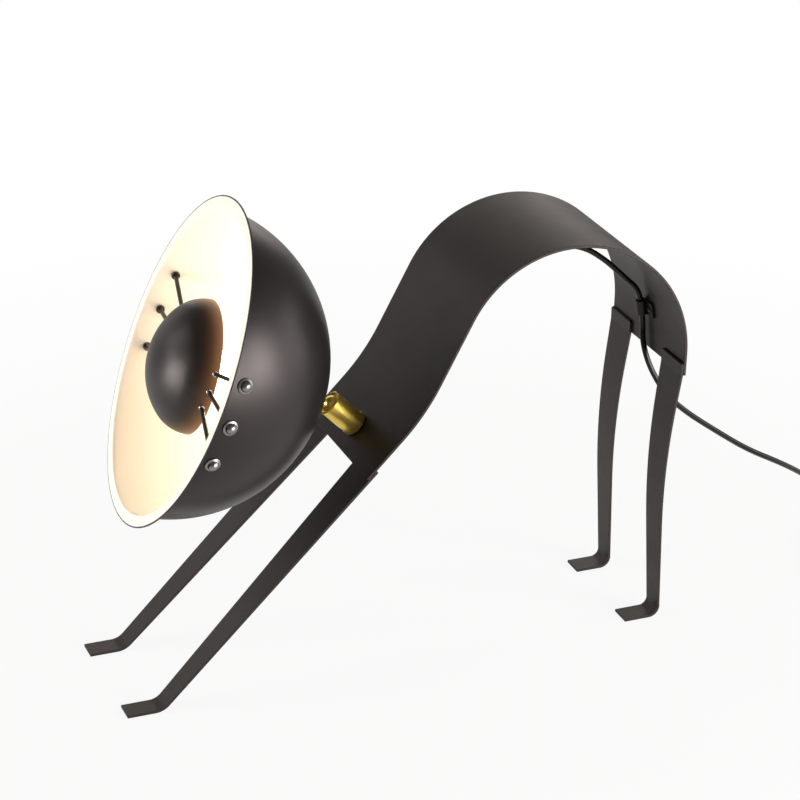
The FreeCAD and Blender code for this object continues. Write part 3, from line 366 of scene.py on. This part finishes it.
def addPiece(name, mesh, body, finish, replaced=(), place=None, sharp=32, bevel=None):
    # turns a bmesh into a finished piece that rides on its body
    if place is not None:
        bmesh.ops.transform(mesh, matrix=place, verts=mesh.verts)
    data = bpy.data.meshes.new(name)
    mesh.to_mesh(data)
    mesh.free()
    data.shade_smooth()
    data.set_sharp_from_angle(angle=radians(sharp))
    piece = bpy.data.objects.new(name, data)
    scene.collection.objects.link(piece)
    for key in [finish] if isinstance(finish, str) else finish:
        data.materials.append(finishes[key])
    if bevel:
        rounding = piece.modifiers.new("edges", "BEVEL")
        rounding.width = bevel
        rounding.segments = 2
        rounding.limit_method = "ANGLE"
        rounding.angle_limit = radians(sharp)
    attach(piece, body)
    if replaced:
        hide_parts(*([replaced] if isinstance(replaced, str) else replaced))
    return piece


def dressCopy(name, node, body, finish, bevel=0.25 * mm, sharp=32, segments=2):
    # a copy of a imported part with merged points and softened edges, for small machined parts
    mesh = bmesh.new()
    mesh.from_mesh(frame["nodes"][node].data)
    bmesh.ops.remove_doubles(mesh, verts=mesh.verts, dist=2e-6)
    bmesh.ops.dissolve_limit(mesh, angle_limit=radians(1), verts=mesh.verts, edges=mesh.edges)
    piece = addPiece(name, mesh, body, finish, node, sharp=sharp, bevel=bevel)
    piece.modifiers["edges"].segments = segments
    return piece


# Cords: the route's points repeat the model's, in metres
cordSizes = {"radius": 2.7 * mm, "coilRadius": 40.0 * mm, "coilEntry": (0.5606, -0.1124, 0.0038),
             "coilTurns": 2.5, "layer": 6.1 * mm, "perTurn": 16, "length": 1.8}
clipCentre = (0.257633, -0.007386, 0.285997)
heldRoute = [
    (-0.01468, -0.011386, 0.204229), (-0.0040, -0.0114, 0.1935), (0.0118, -0.0114, 0.1913),
    (0.0259, -0.0113, 0.1988), (0.0385, -0.0112, 0.2215), (0.0607, -0.0110, 0.2668),
    (0.0867, -0.0104, 0.3118), (0.1209, -0.0096, 0.3426), (0.1617, -0.0088, 0.3596),
    (0.1946, -0.0078, 0.3550), (0.2194, -0.0074, 0.3376), (0.2396, -0.0074, 0.3170),
    (0.255544, -0.007386, 0.301860), clipCentre,
]
freeRoute = [
    clipCentre, (0.259721, -0.007386, 0.270133), (0.2576, -0.0120, 0.2520),
    (0.2620, -0.0220, 0.2280),
    (0.2786, -0.0244, 0.2000), (0.3046, -0.0164, 0.1750), (0.3406, -0.0054, 0.1465),
    (0.3856, 0.0126, 0.1114), (0.4356, 0.0336, 0.0792), (0.4746, 0.0566, 0.0504),
    (0.5006, 0.0726, 0.0286), (0.5176, 0.0816, 0.0130), (0.5386, 0.0786, 0.0050),
    (0.5540, 0.0640, 0.0030), (0.5596, 0.0460, 0.0036), (0.5606, 0.0300, 0.0065),
    (0.5606, 0.0170, 0.0065), (0.5606, -0.0790, 0.0065), (0.5606, -0.0880, 0.0065),
    (0.5606, -0.0980, 0.0038), (0.5606, -0.1070, 0.0038),
]
tailRoute = [(0.4806, -0.1070, 0.0099), (0.4806, -0.0960, 0.0099), (0.4796, -0.0830, 0.0070),
             (0.4796, -0.0710, 0.0070)]


def coilRoute():
    # loops that spiral in, climb a layer and spiral out again, clockwise from above
    size = cordSizes
    layer, turnsIn = size["layer"], size["coilTurns"]
    centre = Vector(size["coilEntry"]) - Vector((size["coilRadius"], 0, 0))
    least = size["coilRadius"] - layer * (turnsIn + 0.125)
    spots = []
    for step in range(int((2 * turnsIn + 0.5) * size["perTurn"]) + 1):
        turn = step / size["perTurn"]
        fromMiddle = abs(turn - turnsIn - 0.25)
        spread = 2 * fromMiddle ** 2 if fromMiddle < 0.25 else fromMiddle - 0.125
        radius = least + layer * spread
        radius /= cos(pi / size["perTurn"])
        share = min(max(2 * (turn - turnsIn), 0), 1)
        rise = layer * (share - sin(2 * pi * share) / (2 * pi))
        angle = -2 * pi * turn
        spots.append(centre + Vector((radius * cos(angle), radius * sin(angle), rise)))
    return spots


def addCord(name, route, replaced):
    line = bpy.data.curves.new(name, "CURVE")
    line.dimensions = "3D"
    line.bevel_depth = cordSizes["radius"]
    line.bevel_resolution = 5
    line.resolution_u = 10
    line.use_fill_caps = True
    spline = line.splines.new("NURBS")
    spline.points.add(len(route) - 1)
    for point, spot in zip(spline.points, route):
        point.co = (*spot, 1)
    spline.order_u = 3
    spline.use_endpoint_u = True
    spline.resolution_u = 10
    line.materials.append(finishes["sheath"])
    piece = bpy.data.objects.new(name, line)
    scene.collection.objects.link(piece)
    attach(piece, "stand")
    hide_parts(*replaced)
    return piece


addCord("heldCord", heldRoute, ["cord_held"])
freeCord = addCord("mainsCord", freeRoute + coilRoute() + tailRoute,
                   ["cord_run", "cord_lead", "cord_coil", "cord_tail"])
print("cords laid")


# Bent strip of the body
strip = {"width": 150 * mm, "thickness": 2.5 * mm, "frontStraight": 47.0 * mm,
         "chestRadius": 200.6 * mm, "riseSlope": 61.3, "riseStraight": 63.6 * mm,
         "crestRadius": 108.3 * mm, "rumpRadius": 115.6 * mm, "rumpSlope": 92.0,
         "rumpStraight": 20.7 * mm, "edge": 0.35 * mm}


def addStrip():
    slope = lamp["frontSlope"]
    startX = neckPoint.x - lamp["neckSetback"] * cos(radians(slope))
    startZ = neckPoint.z - lamp["neckSetback"] * sin(radians(slope))
    drawing = Drawing(startX, startZ).onward(strip["frontStraight"], slope)
    drawing.turn(strip["chestRadius"], slope, strip["riseSlope"], 18)
    drawing.onward(strip["riseStraight"], strip["riseSlope"])
    drawing.turn(strip["crestRadius"], strip["riseSlope"], 0, 40)
    drawing.turn(strip["rumpRadius"], 0, -strip["rumpSlope"], 56)
    drawing.onward(strip["rumpStraight"], -strip["rumpSlope"])
    mesh = drawing.pulled(strip["width"])
    thicken(mesh, strip["thickness"], Vector((0, 0, -1)))
    place = Matrix.Translation((0, middleY - strip["width"] / 2, 0))
    addPiece("bodyStrip", mesh, "stand", "body", "body_strip", place, 40,
             strip["edge"])


def thicken(mesh, thickness, away):
    # gives an open sheet its wall, on the side that faces away where the sheet lies flattest
    bmesh.ops.recalc_face_normals(mesh, faces=mesh.faces)
    mesh.normal_update()
    flattest = max(mesh.faces, key=lambda face: abs(face.normal.z))
    if flattest.normal.dot(away) < 0:
        bmesh.ops.reverse_faces(mesh, faces=mesh.faces)
        mesh.normal_update()
    bmesh.ops.solidify(mesh, geom=mesh.faces[:], thickness=-thickness)
    bmesh.ops.recalc_face_normals(mesh, faces=mesh.faces)


addStrip()
print("body strip bent")


# Four legs, each bent from a flat bar with tapering sides
legs = {
    "thickness": 2.5 * mm, "edge": 0.3 * mm, "topWidth": 41.5 * mm,
    "front": {"foot": 33.2 * mm, "reach": 284.6 * mm, "footWidth": 21.5 * mm, "inset": 4.0 * mm,
              "bend": 18.0 * mm},
    "rear": {"foot": 35.0 * mm, "bend": 10.5 * mm, "shinSlope": 91.4, "lean": 8.6,
             "leanLength": 30 * mm, "curve": 700 * mm, "lap": 11 * mm, "footWidth": 22.5 * mm,
             "inset": 9.3 * mm},
}


def addLeg(name, drawing, side, size, node):
    mesh = drawing.pulled(1.0)
    top = max(corner.co.z for corner in mesh.verts)
    for corner in mesh.verts:
        share = corner.co.z / top
        outer = strip["width"] / 2 - size["inset"] * (1 - share)
        width = size["footWidth"] + (legs["topWidth"] - size["footWidth"]) * share
        corner.co.y = middleY + side * (outer - width * corner.co.y)
    thicken(mesh, legs["thickness"], Vector((0, 0, 1)))
    addPiece(name, mesh, "stand", "body", node, None, 40, legs["edge"])


weld = {"radius": 1.1 * mm, "ripples": 34, "short": 1.5 * mm, "swell": 1.12, "shrink": 0.89}


def addWeldAndPaintedShade(name, spot, side):
    # a rippled weld bead between the end of the leg and the inner face of the strip; its near-black
    # finish, darker than the body paint, is also painted shade for the gap there
    length = legs["topWidth"] - 2 * weld["short"]
    stride = Vector((0, length / weld["ripples"], 0))
    mesh = bmesh.new()
    bmesh.ops.create_circle(mesh, segments=10, radius=weld["radius"])
    bmesh.ops.rotate(mesh, matrix=Matrix.Rotation(pi / 2, 3, "X"), verts=mesh.verts)
    start = mesh.edges[:]
    for step in range(weld["ripples"]):
        made = bmesh.ops.extrude_edge_only(mesh, edges=start)["geom"]
        ring = [item for item in made if isinstance(item, bmesh.types.BMVert)]
        start = [item for item in made if isinstance(item, bmesh.types.BMEdge)
                 and all(end in ring for end in item.verts)]
        middle = sum((corner.co for corner in ring), Vector()) / len(ring)
        reach = weld["swell"] if step % 2 else weld["shrink"]
        for corner in ring:
            corner.co = middle + (corner.co - middle) * reach + stride
    bmesh.ops.holes_fill(mesh, edges=mesh.edges, sides=12)
    bmesh.ops.recalc_face_normals(mesh, faces=mesh.faces)
    low = middleY + side * (strip["width"] / 2 - weld["short"]) - (length if side > 0 else 0)
    place = Matrix.Translation((spot.x - weld["radius"] * 0.9, low,
                                spot.z + weld["radius"] * 0.2))
    addPiece(name, mesh, "stand", "weld", (), place, 60)


def addLegs():
    rump = strip["rumpSlope"]
    front, rear = legs["front"], legs["rear"]
    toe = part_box("front_leg_left")[0].x
    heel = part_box("rear_leg_left")[0].x
    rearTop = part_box("rear_leg_left")[1].z
    slope = radians(lamp["frontSlope"])
    setback = front["bend"] * sin(slope / 2) / cos(slope / 2)
    lean, shin, out = radians(rear["lean"]), radians(rear["shinSlope"]), rear["bend"]
    shinTop = (rearTop - rear["lap"] * sin(radians(rump))
               - out * (sin(lean) + cos(radians(rump)))
               - rear["leanLength"] * cos(lean) - rear["curve"] * (sin(lean) - cos(shin)))
    shinLength = (shinTop - out * (1 - cos(shin))) / sin(shin)
    for side, word in ((-1, "Left"), (1, "Right")):
        drawing = Drawing(toe, 0).onward(front["foot"] - setback, 0)
        drawing.turn(front["bend"], 0, lamp["frontSlope"], 10)
        drawing.onward(front["reach"] - setback, lamp["frontSlope"])
        addLeg("frontLeg" + word, drawing, side, front, "front_leg_" + word.lower())
        drawing = Drawing(heel, 0).onward(rear["foot"] - out, 0)
        drawing.turn(out, 0, rear["shinSlope"], 12)
        drawing.onward(shinLength, rear["shinSlope"])
        drawing.turn(rear["curve"], rear["shinSlope"], 90 - rear["lean"], 14)
        drawing.onward(rear["leanLength"], 90 - rear["lean"])
        drawing.turn(out, 90 - rear["lean"], 180 - rump, 6)
        drawing.onward(rear["lap"], 180 - rump)
        addWeldAndPaintedShade("rearWeldAndPaintedShade" + word, drawing.last.co.copy(), side)
        addLeg("rearLeg" + word, drawing, side, rear, "rear_leg_" + word.lower())


addLegs()
print("legs bent")


# Spun shade and nose cup
shade = {"radius": lamp["domeRadius"], "wall": 1.2 * mm, "flange": 150.3 * mm,
         "seat": lamp["seatRadius"], "seatRing": 0.6, "hole": 5.2 * mm, "darkEdge": 1.3 * mm,
         "rimBend": 0.5 * mm, "domeSteps": 56, "steps": 192}
cup = {"radius": 60.3 * mm, "height": 45.4 * mm, "wall": 1.2 * mm, "shoulder": 36 * mm,
       "edge": 0.2 * mm, "steps": 128}


def degreesAt(x, z):
    return atan2(z, x) * 180 / pi


def addHeadPiece(name, drawing, steps, finish, node, sharp, bevel=None):
    addPiece(name, drawing.spun(steps), "head", finish, node, headPlace, sharp, bevel)


def addShade():
    outer, wall, flange = shade["radius"], shade["wall"], shade["flange"]
    inner, half, bend = outer - wall, wall / 2, shade["rimBend"]
    seat, hole, seatInner = shade["seat"], shade["hole"], seatZ + wall
    ring = seat * shade["seatRing"]
    rimOut = sqrt(outer ** 2 - (domeShift + wall) ** 2)
    rimIn = sqrt(inner ** 2 - domeShift ** 2)
    seatEdge = sqrt(inner ** 2 - (domeShift - seatInner) ** 2)
    drawing = Drawing(hole, seatZ).path((ring, seatZ), (seat, seatZ))
    start, end = degreesAt(seat, seatZ - domeShift), degreesAt(rimOut, -domeShift - wall)
    drawing.arc(0, domeShift, end - start, shade["domeSteps"])
    drawing.path((rimOut + half, -wall), (flange - half, -wall))
    drawing.arc(flange - half, -half, 180, 8)
    drawing.path((flange - shade["darkEdge"], 0), (rimIn + 1.2 * mm, 0),
                 (rimIn + 0.4 * mm, -0.15 * mm), (rimIn, -bend))
    start, end = degreesAt(rimIn, -bend - domeShift), degreesAt(seatEdge, seatInner - domeShift)
    drawing.arc(0, domeShift, end - start, shade["domeSteps"])
    drawing.path((ring, seatInner), (hole, seatInner)).close()
    mesh = drawing.spun(shade["steps"])
    for face in mesh.faces:
        # cream inside and on the flange's front, apart from a dark edge
        spot = face.calc_center_median()
        inside = (spot - Vector((0, 0, domeShift))).length < outer - half
        front = spot.z > -0.3 * mm and spot.xy.length < flange - shade["darkEdge"]
        face.material_index = 1 if inside or front else 0
    addPiece("headShade", mesh, "head", ["shade", "cream"], "shade", headPlace, 50)


def addCup():
    wide, tall, wall, small = cup["radius"], cup["height"], cup["wall"], cup["shoulder"]
    large = ((wide - small) ** 2 + tall ** 2 - small ** 2) / 2 / (tall - small)
    centreZ = tall - large
    join = degreesAt(wide - small, -centreZ)
    drawing = Drawing(wide - wall, cup["edge"])
    drawing.path((wide - wall * 0.8, 0), (wide - wall * 0.2, 0), (wide, cup["edge"]))
    drawing.arc(wide - small, 0, join, 24).arc(0, centreZ, 90 - join, 30)
    drawing.line(0, tall - wall).arc(0, centreZ, join - 90, 30)
    drawing.arc(wide - small, 0, -join, 24).close()
    mesh = drawing.spun(cup["steps"])
    for face in mesh.faces:
        spot = face.calc_center_median()
        inward = face.normal.dot(spot - Vector((0, 0, -tall))) < 0
        face.material_index = 1 if inward and spot.z > cup["edge"] / 2 else 0
    addPiece("noseCup", mesh, "head", ["cup", "cream"], "nose_cup", cupPlace, 50)


addShade()
addCup()
print("shade and nose cup spun")


# Whisker rods with their nuts
whisker = {"radius": 2.0 * mm, "depth": 15.5 * mm, "spread": 15.5, "start": 53.2 * mm,
           "edge": 0.3 * mm, "collar": 4.0 * mm, "collarHeight": 2.2 * mm, "collarEdge": 0.4 * mm,
           "endLength": 3.6 * mm}
bead = {"face": 60.6 * mm, "radius": 2.7 * mm, "height": 1.8 * mm, "side": 0.6 * mm,
        "round": 1.0 * mm, "fit": 0.1 * mm}
capNut = {"hole": 2.9 * mm, "hollow": 4.4 * mm, "flange": 7.0 * mm, "flangeHeight": 1.5 * mm,
          "dome": 5.0 * mm, "domeHeight": 5.6 * mm, "domeFoot": 0.2 * mm}


def rodShape(wallEnd, rodEnd):
    radius, edge, start = whisker["radius"], whisker["edge"], whisker["start"]
    collar, collarEdge = whisker["collar"], whisker["collarEdge"]
    low = wallEnd - whisker["collarHeight"]
    rod = Drawing(0, start).path(
        (radius - edge, start), (radius, start + edge), (radius, low), (collar - collarEdge, low),
        (collar, low + collarEdge), (collar, wallEnd), (radius, wallEnd), (radius, rodEnd),
        (0, rodEnd))
    return rod.spun(32)


def beadShape():
    inner, outer, face = whisker["radius"] - bead["fit"], bead["radius"], bead["face"]
    drawing = Drawing(inner, face).path((outer, face), (outer, face + bead["side"]))
    drawing.arc(outer - bead["round"], face + bead["side"], 70, 6)
    return drawing.line(inner, face + bead["height"]).close().spun(32)


def capNutShape():
    base, flange, tall = shade["radius"], capNut["flange"], capNut["flangeHeight"]
    dome, rise = capNut["dome"], capNut["domeHeight"] - tall
    ball = (dome ** 2 + rise ** 2) / 2 / rise
    centre = base + capNut["domeHeight"] - ball
    foot, hollow = base + tall + capNut["domeFoot"], base + capNut["hollow"]
    nut = Drawing(capNut["hole"], base)
    nut.path((flange - 0.2 * mm, base), (flange, base + 0.25 * mm),
             (flange - 0.1 * mm, base + tall * 0.55), (flange - 0.5 * mm, base + tall * 0.8),
             (dome + 0.3 * mm, base + tall), (dome, foot))
    nut.arc(0, centre, 90 - degreesAt(dome, foot - centre), 12)
    return nut.path((0, hollow), (capNut["hole"], hollow)).close().spun(48)


def addWhiskers():
    radius, wall = shade["radius"], shade["wall"]
    across = whisker["depth"] + domeShift
    reach = sqrt(radius ** 2 - across ** 2)
    wallEnd = sqrt((radius - wall) ** 2 - (across + whisker["collar"]) ** 2) - whisker["edge"]
    rodEnd = reach + whisker["endLength"]
    lean = atan2(across, reach)
    for side, word in ((-1, "left"), (1, "right")):
        for step, level in ((1, "upper"), (0, "middle"), (-1, "lower")):
            label, title = f"{word}_{level}", word.title() + level.title()
            turn = Matrix.Rotation(radians(side * (90 - step * whisker["spread"])), 4, "Z")
            place = (headPlace @ Matrix.Translation((0, 0, -whisker["depth"])) @ turn
                     @ Matrix.Rotation(pi / 2, 4, "Y"))
            nutPlace = domePlace @ turn @ Matrix.Rotation(pi / 2 + lean, 4, "Y")
            addPiece("whisker" + title, rodShape(wallEnd, rodEnd), "head", "rod",
                     "whisker_rod_" + label, place, 40)
            addPiece("whiskerBead" + title, beadShape(), "head", "bead",
                     (), place, 40)
            addPiece("capNut" + title, capNutShape(), "head", "gunmetal",
                     "cap_nut_" + label, nutPlace, 40)
            dressCopy("cupNut" + title, "cup_nut_" + label, "head", "gunmetal")


addWhiskers()
print("whiskers fitted")


# Neck, ball joint and small hardware
hardware = (
    # piece, node, body, slot, finish, bevel in millimetres
    ("frictionPad", "friction_pad", "stand", "rubber_black", "rubber", 0.15),
    ("neckNipple", "neck_nipple", "stand", "brass", "plainBrass", 0.2),
    ("neckWasher", "neck_washer", "stand", "zinc_steel", "zinc", 0.15),
    ("neckNut", "neck_nut", "stand", "zinc_steel", "zinc", 0.3),
    ("cordBushing", "cord_bushing", "stand", "rubber_black", "rubber", 0.5),
    ("socketBody", "socket_body", "neck", "brass", "brass", 0.3),
    ("socketRing", "socket_ring", "neck", "brass", "brass", 0.25),
    ("stemCollar", "stem_collar", "head", "brass", "brass", 0.4),
    ("holderWasher", "holder_washer", "head", "zinc_steel", "zinc", 0.2),
    ("holderContact", "holder_contact", "head", "contact_brass", "plainBrass", 0.1),
    ("cordClip", "cord_clip", "stand", "plastic_black", "plastic", 0.3),
    ("clipScrew", "clip_screw", "stand", "zinc_steel", "blackScrew", 0.25),
)
padSettle = 0.04 * mm


def addHardware():
    for name, node, body, slot, finish, bevel in hardware:
        piece = dressCopy(name, node, body, finish, bevel * mm)
        if name == "frictionPad":
            # a hair lower, so that the socket turns clear of it
            piece.data.transform(Matrix.Translation(-padSettle * neckAxis))


stem = {"ball": 9.0 * mm, "radius": 5.0 * mm, "bore": 3.0 * mm, "tail": 12.5 * mm, "edge": 0.4 * mm}


def addBallStem():
    ballZ, top = -headReach, seatZ + stem["tail"]
    ball, radius, bore, edge = stem["ball"], stem["radius"], stem["bore"], stem["edge"]
    low, high = -sqrt(ball ** 2 - bore ** 2), sqrt(ball ** 2 - radius ** 2)
    drawing = Drawing(bore, ballZ + low)
    drawing.arc(0, ballZ, degreesAt(radius, high) - degreesAt(bore, low), 32)
    drawing.path((radius, top - edge), (radius - edge, top), (bore, top)).close()
    addHeadPiece("ballStem", drawing, 72, "brass", "ball_stem", 40)


addHardware()
addBallStem()
print("neck and ball joint fitted")


# Lamp holder and bulb, along the head's axis
holder = {"cap": seatZ + 2.2 * mm, "shell": seatZ + 20.2 * mm, "shellHeight": 37 * mm,
          "radius": 20 * mm, "bore": 16.2 * mm, "capRadius": 19 * mm, "baseRadius": 15.5 * mm,
          "wall": 2.6 * mm, "hole": 5.05 * mm, "slope": 9 * mm, "lip": 0.8 * mm,
          "ribs": 7, "ribDepth": 0.5 * mm, "collar": 1.6 * mm}
thread = {"root": 15.0 * mm, "crest": 14.6 * mm, "back": 15.6 * mm, "pitch": 3.2 * mm, "turns": 8,
          "height": 27 * mm, "gap": 0.05 * mm}
core = {"radius": 16.35 * mm, "depth": 7 * mm, "boss": 8 * mm}
bulb = {"tip": seatZ + 23.7 * mm, "cap": seatZ + 27.7 * mm, "capHeight": 21 * mm,
        "capRadius": 13.2 * mm, "tipInset": 4 * mm, "turns": 5, "pitch": 3.3 * mm,
        "threadDepth": 0.6 * mm, "neck": 12.2 * mm, "neckHeight": 15 * mm, "globe": 22.5 * mm,
        "glass": 0.8 * mm}


def addHolder():
    base, join, radius, bore = holder["cap"], holder["shell"], holder["radius"], holder["bore"]
    wide, narrow, wall = holder["capRadius"], holder["baseRadius"], holder["wall"]
    hole, lip, shoulder = holder["hole"], holder["lip"], base + holder["slope"]
    cap = Drawing(hole, base).path(
        (narrow - lip, base), (narrow, base + lip), (wide, shoulder), (wide, join),
        (wide - wall, join), (wide - wall, shoulder), (narrow - wall, base + wall),
        (hole, base + wall)).close()
    addHeadPiece("holderCap", cap, 72, "ceramic", "holder_cap", 30, 0.2 * mm)
    groove, collar = radius - holder["ribDepth"], radius + holder["collar"]
    shell = Drawing(bore, join).line(groove, join)
    for step in range(holder["ribs"]):
        low = join + 2 * mm + step * thread["pitch"]
        shell.path((groove, low), (radius, low + 0.4 * mm), (radius, low + 2.0 * mm),
                   (groove, low + 2.4 * mm))
    top = join + holder["shellHeight"]
    shell.path((radius, join + thread["height"]), (collar, join + 28.2 * mm),
               (collar, join + 33.3 * mm), (radius, top), (bore + 0.4 * mm, top),
               (bore, top - 0.4 * mm)).close()
    addHeadPiece("holderShell", shell, 72, "ceramic", "holder_shell", 30,
                 0.12 * mm)
    root, back = thread["root"], thread["back"]
    low, high = join + thread["gap"], join + thread["height"]
    sleeve = Drawing(root, low)
    for step in range(thread["turns"]):
        turn = join + step * thread["pitch"]
        sleeve.path((root, turn + 1 * mm), (thread["crest"], turn + 2.6 * mm))
    sleeve.path((root, high), (back, high), (back, low)).close()
    addHeadPiece("holderThread", sleeve, 64, "plainBrass", "holder_thread", 60)
    wide, low, boss = core["radius"], join - core["depth"], core["boss"]
    block = Drawing(0, low).path(
        (wide, low), (wide, join - 0.4 * mm), (15.9 * mm, join), (boss, join),
        (boss - 0.4 * mm, join - 0.01 * mm), (0, join - 0.01 * mm))
    addHeadPiece("holderCore", block, 48, "ceramic", "holder_core", 30)


def addBulb():
    tip, low, top = bulb["tip"], bulb["cap"], bulb["cap"] + bulb["capHeight"]
    radius, pitch = bulb["capRadius"], bulb["pitch"]
    inset, root = radius - bulb["tipInset"], radius - bulb["threadDepth"]
    contact = Drawing(0, tip).path((3.5 * mm, tip + 0.3 * mm), (5 * mm, tip + 1.3 * mm),
                                   (inset, low), (0, low))
    addHeadPiece("bulbTip", contact, 40, "bulbCap", "bulb_tip", 30)
    screw = Drawing(0, low).path((inset, low), (root, low + 2 * mm))
    for step in range(bulb["turns"]):
        base = low + 2 * mm + step * pitch
        screw.path((root, base + 0.2 * mm), (radius, base + 0.3 * pitch),
                   (radius, base + 0.6 * pitch), (root, base + 0.95 * pitch))
    screw.path((radius, top - 1.6 * mm), (radius, top), (radius - 0.4 * mm, top),
               (radius - 1.1 * mm, low + 2.4 * mm), (inset, low + 0.8 * mm), (0, low + 0.8 * mm))
    addHeadPiece("bulbCap", screw, 64, "bulbCap", "bulb_cap", 60)
    globe, neck, wall = bulb["globe"], bulb["neck"], bulb["glass"]
    neckTop = top + bulb["neckHeight"]
    centre = neckTop + sqrt(globe ** 2 - neck ** 2)
    outer = degreesAt(neck, neckTop - centre)
    inner = degreesAt(neck - wall, -sqrt((globe - wall) ** 2 - (neck - wall) ** 2))
    glass = Drawing(neck - wall, top).path((neck, top), (neck, neckTop))
    glass.arc(0, centre, 90 - outer, 36).line(0, centre + globe - wall)
    glass.arc(0, centre, inner - 90, 36).close()
    addHeadPiece("bulbGlobe", glass, 72, "glass", "bulb_glass", 40)


addHolder()
addBulb()
print("holder and bulb fitted")


# Switch, tie and plug on the cord
cordEnds = (
    # piece, node, slot, finish, bevel in millimetres
    ("switchLower", "switch_lower", "plastic_black", "plastic", 2.4),
    ("switchUpper", "switch_upper", "plastic_black", "plastic", 2.4),
    ("switchReliefIn", "switch_relief_in", "plastic_black", "rubber", 0.4),
    ("switchReliefOut", "switch_relief_out", "plastic_black", "rubber", 0.4),
    ("cordTie", "cord_tie", "plastic_black", "plastic", 0.3),
    ("plugRelief", "plug_relief", "plastic_black", "rubber", 0.4),
    ("plugBody", "plug_body", "plastic_black", "plastic", 3.0),
    ("plugPins", "plug_pins", "pin_metal", "pin", 0.8),
)


def addCordEnds():
    parts = [dressCopy(name, node, "stand", finish, bevel * mm, 24, 4)
             for name, node, slot, finish, bevel in cordEnds]
    return parts + [dressCopy("switchRocker", "switch_rocker", "rocker",
                              "rocker", 0.3 * mm)]


cordParts = addCordEnds()
print("cord ends fitted")


# Floor, light and background
stage = {"size": 12.0, "drop": 0.3 * mm, "floor": 0.80, "warmth": 0.99, "seenShare": 0.89,
         "glossShare": 0.36, "shadowReach": 0.45, "fade": 0.65,
         "worldGloss": 0.14, "worldFill": 0.16}


def addFloor():
    mesh = bmesh.new()
    bmesh.ops.create_grid(mesh, x_segments=1, y_segments=1, size=stage["size"] / 2)
    data = bpy.data.meshes.new("floor")
    mesh.to_mesh(data)
    mesh.free()
    floor = bpy.data.objects.new("floor", data)
    floor.location.z = -stage["drop"]
    scene.collection.objects.link(floor)
    board = Board("floorPaint", Roughness=0.8)
    level, near = stage["floor"], stage["seenShare"]
    board.feed("Base Color", board.blend(board.noise(3, 2), colour(level, level, level),
                                         colour(level, level, level * stage["warmth"])))
    # the floor keeps its shadow near the lamp and turns plain white further out
    place = board.node("ShaderNodeTexCoord", output="Object")
    away = board.node("ShaderNodeVectorMath", {"operation": "LENGTH"}, [place], 1)
    outward = ((away - stage["shadowReach"]) * (1 / stage["fade"])).clipped()
    seen = board.ray("Camera") + board.ray("Transmission")
    share = seen * (outward * (1 - near) + near) + board.ray("Glossy") * stage["glossShare"]
    glow = board.node("ShaderNodeEmission", {}, {"Color": colour(1, 1, 1), "Strength": 1.0})
    mix = board.node("ShaderNodeMixShader", {}, {
        0: share, 1: Wire(board, board.shader.outputs[0]), 2: glow})
    board.tree.links.new(mix.socket, board.tree.nodes["Material Output"].inputs[0])
    data.materials.append(board.material)


def addWorld():
    # white where the camera looks, and dimmer as a light and in reflections
    scene.world = bpy.data.worlds.new("studio")
    board = Board(scene.world, "Background", Color=colour(1, 1, 1))
    fill, gloss = stage["worldFill"], stage["worldGloss"]
    seen = board.ray("Camera") + board.ray("Transmission")
    board.feed("Strength", seen * (1 - fill) + board.ray("Glossy") * (gloss - fill) + fill)


lights = {
    # place, width, height, watts and tint
    "rightBox": ((1.8, -0.2, 0.45), 0.8, 0.85, 6, (1, 0.97, 0.95)),
    "frontBox": ((1.42, -1.42, 0.52), 0.8, 1.0, 36, (1, 0.97, 0.96)),
    "nearBox": ((0.70, -1.85, 0.43), 0.6, 0.8, 20, (1, 0.97, 0.96)),
    "lowBox": ((-1.9, 0.2, 0.44), 0.8, 0.8, 25, (1, 0.98, 0.96)),
    "leftBox": ((-1.5, 0.9, 1.2), 0.9, 0.9, 6, (1, 0.98, 0.96)),
    "backBox": ((0.7, 1.9, 0.8), 1.6, 0.9, 8.5, (1, 0.92, 0.86)),
    "farBox": ((-0.8, 1.8, 0.7), 1.2, 0.9, 2.3, (1, 0.95, 0.94)),
}
lightTarget = (0, 0, 0.2)


def addLights():
    for name, (place, width, height, power, tint) in lights.items():
        data = bpy.data.lights.new(name, "AREA")
        data.shape = "RECTANGLE"
        data.energy, data.color = power, tint
        data.size, data.size_y = width, height
        aim(bpy.data.objects.new(name, data), place, lightTarget)


addFloor()
addWorld()
addLights()
scene.view_settings.view_transform = "Standard"
print("stage set")
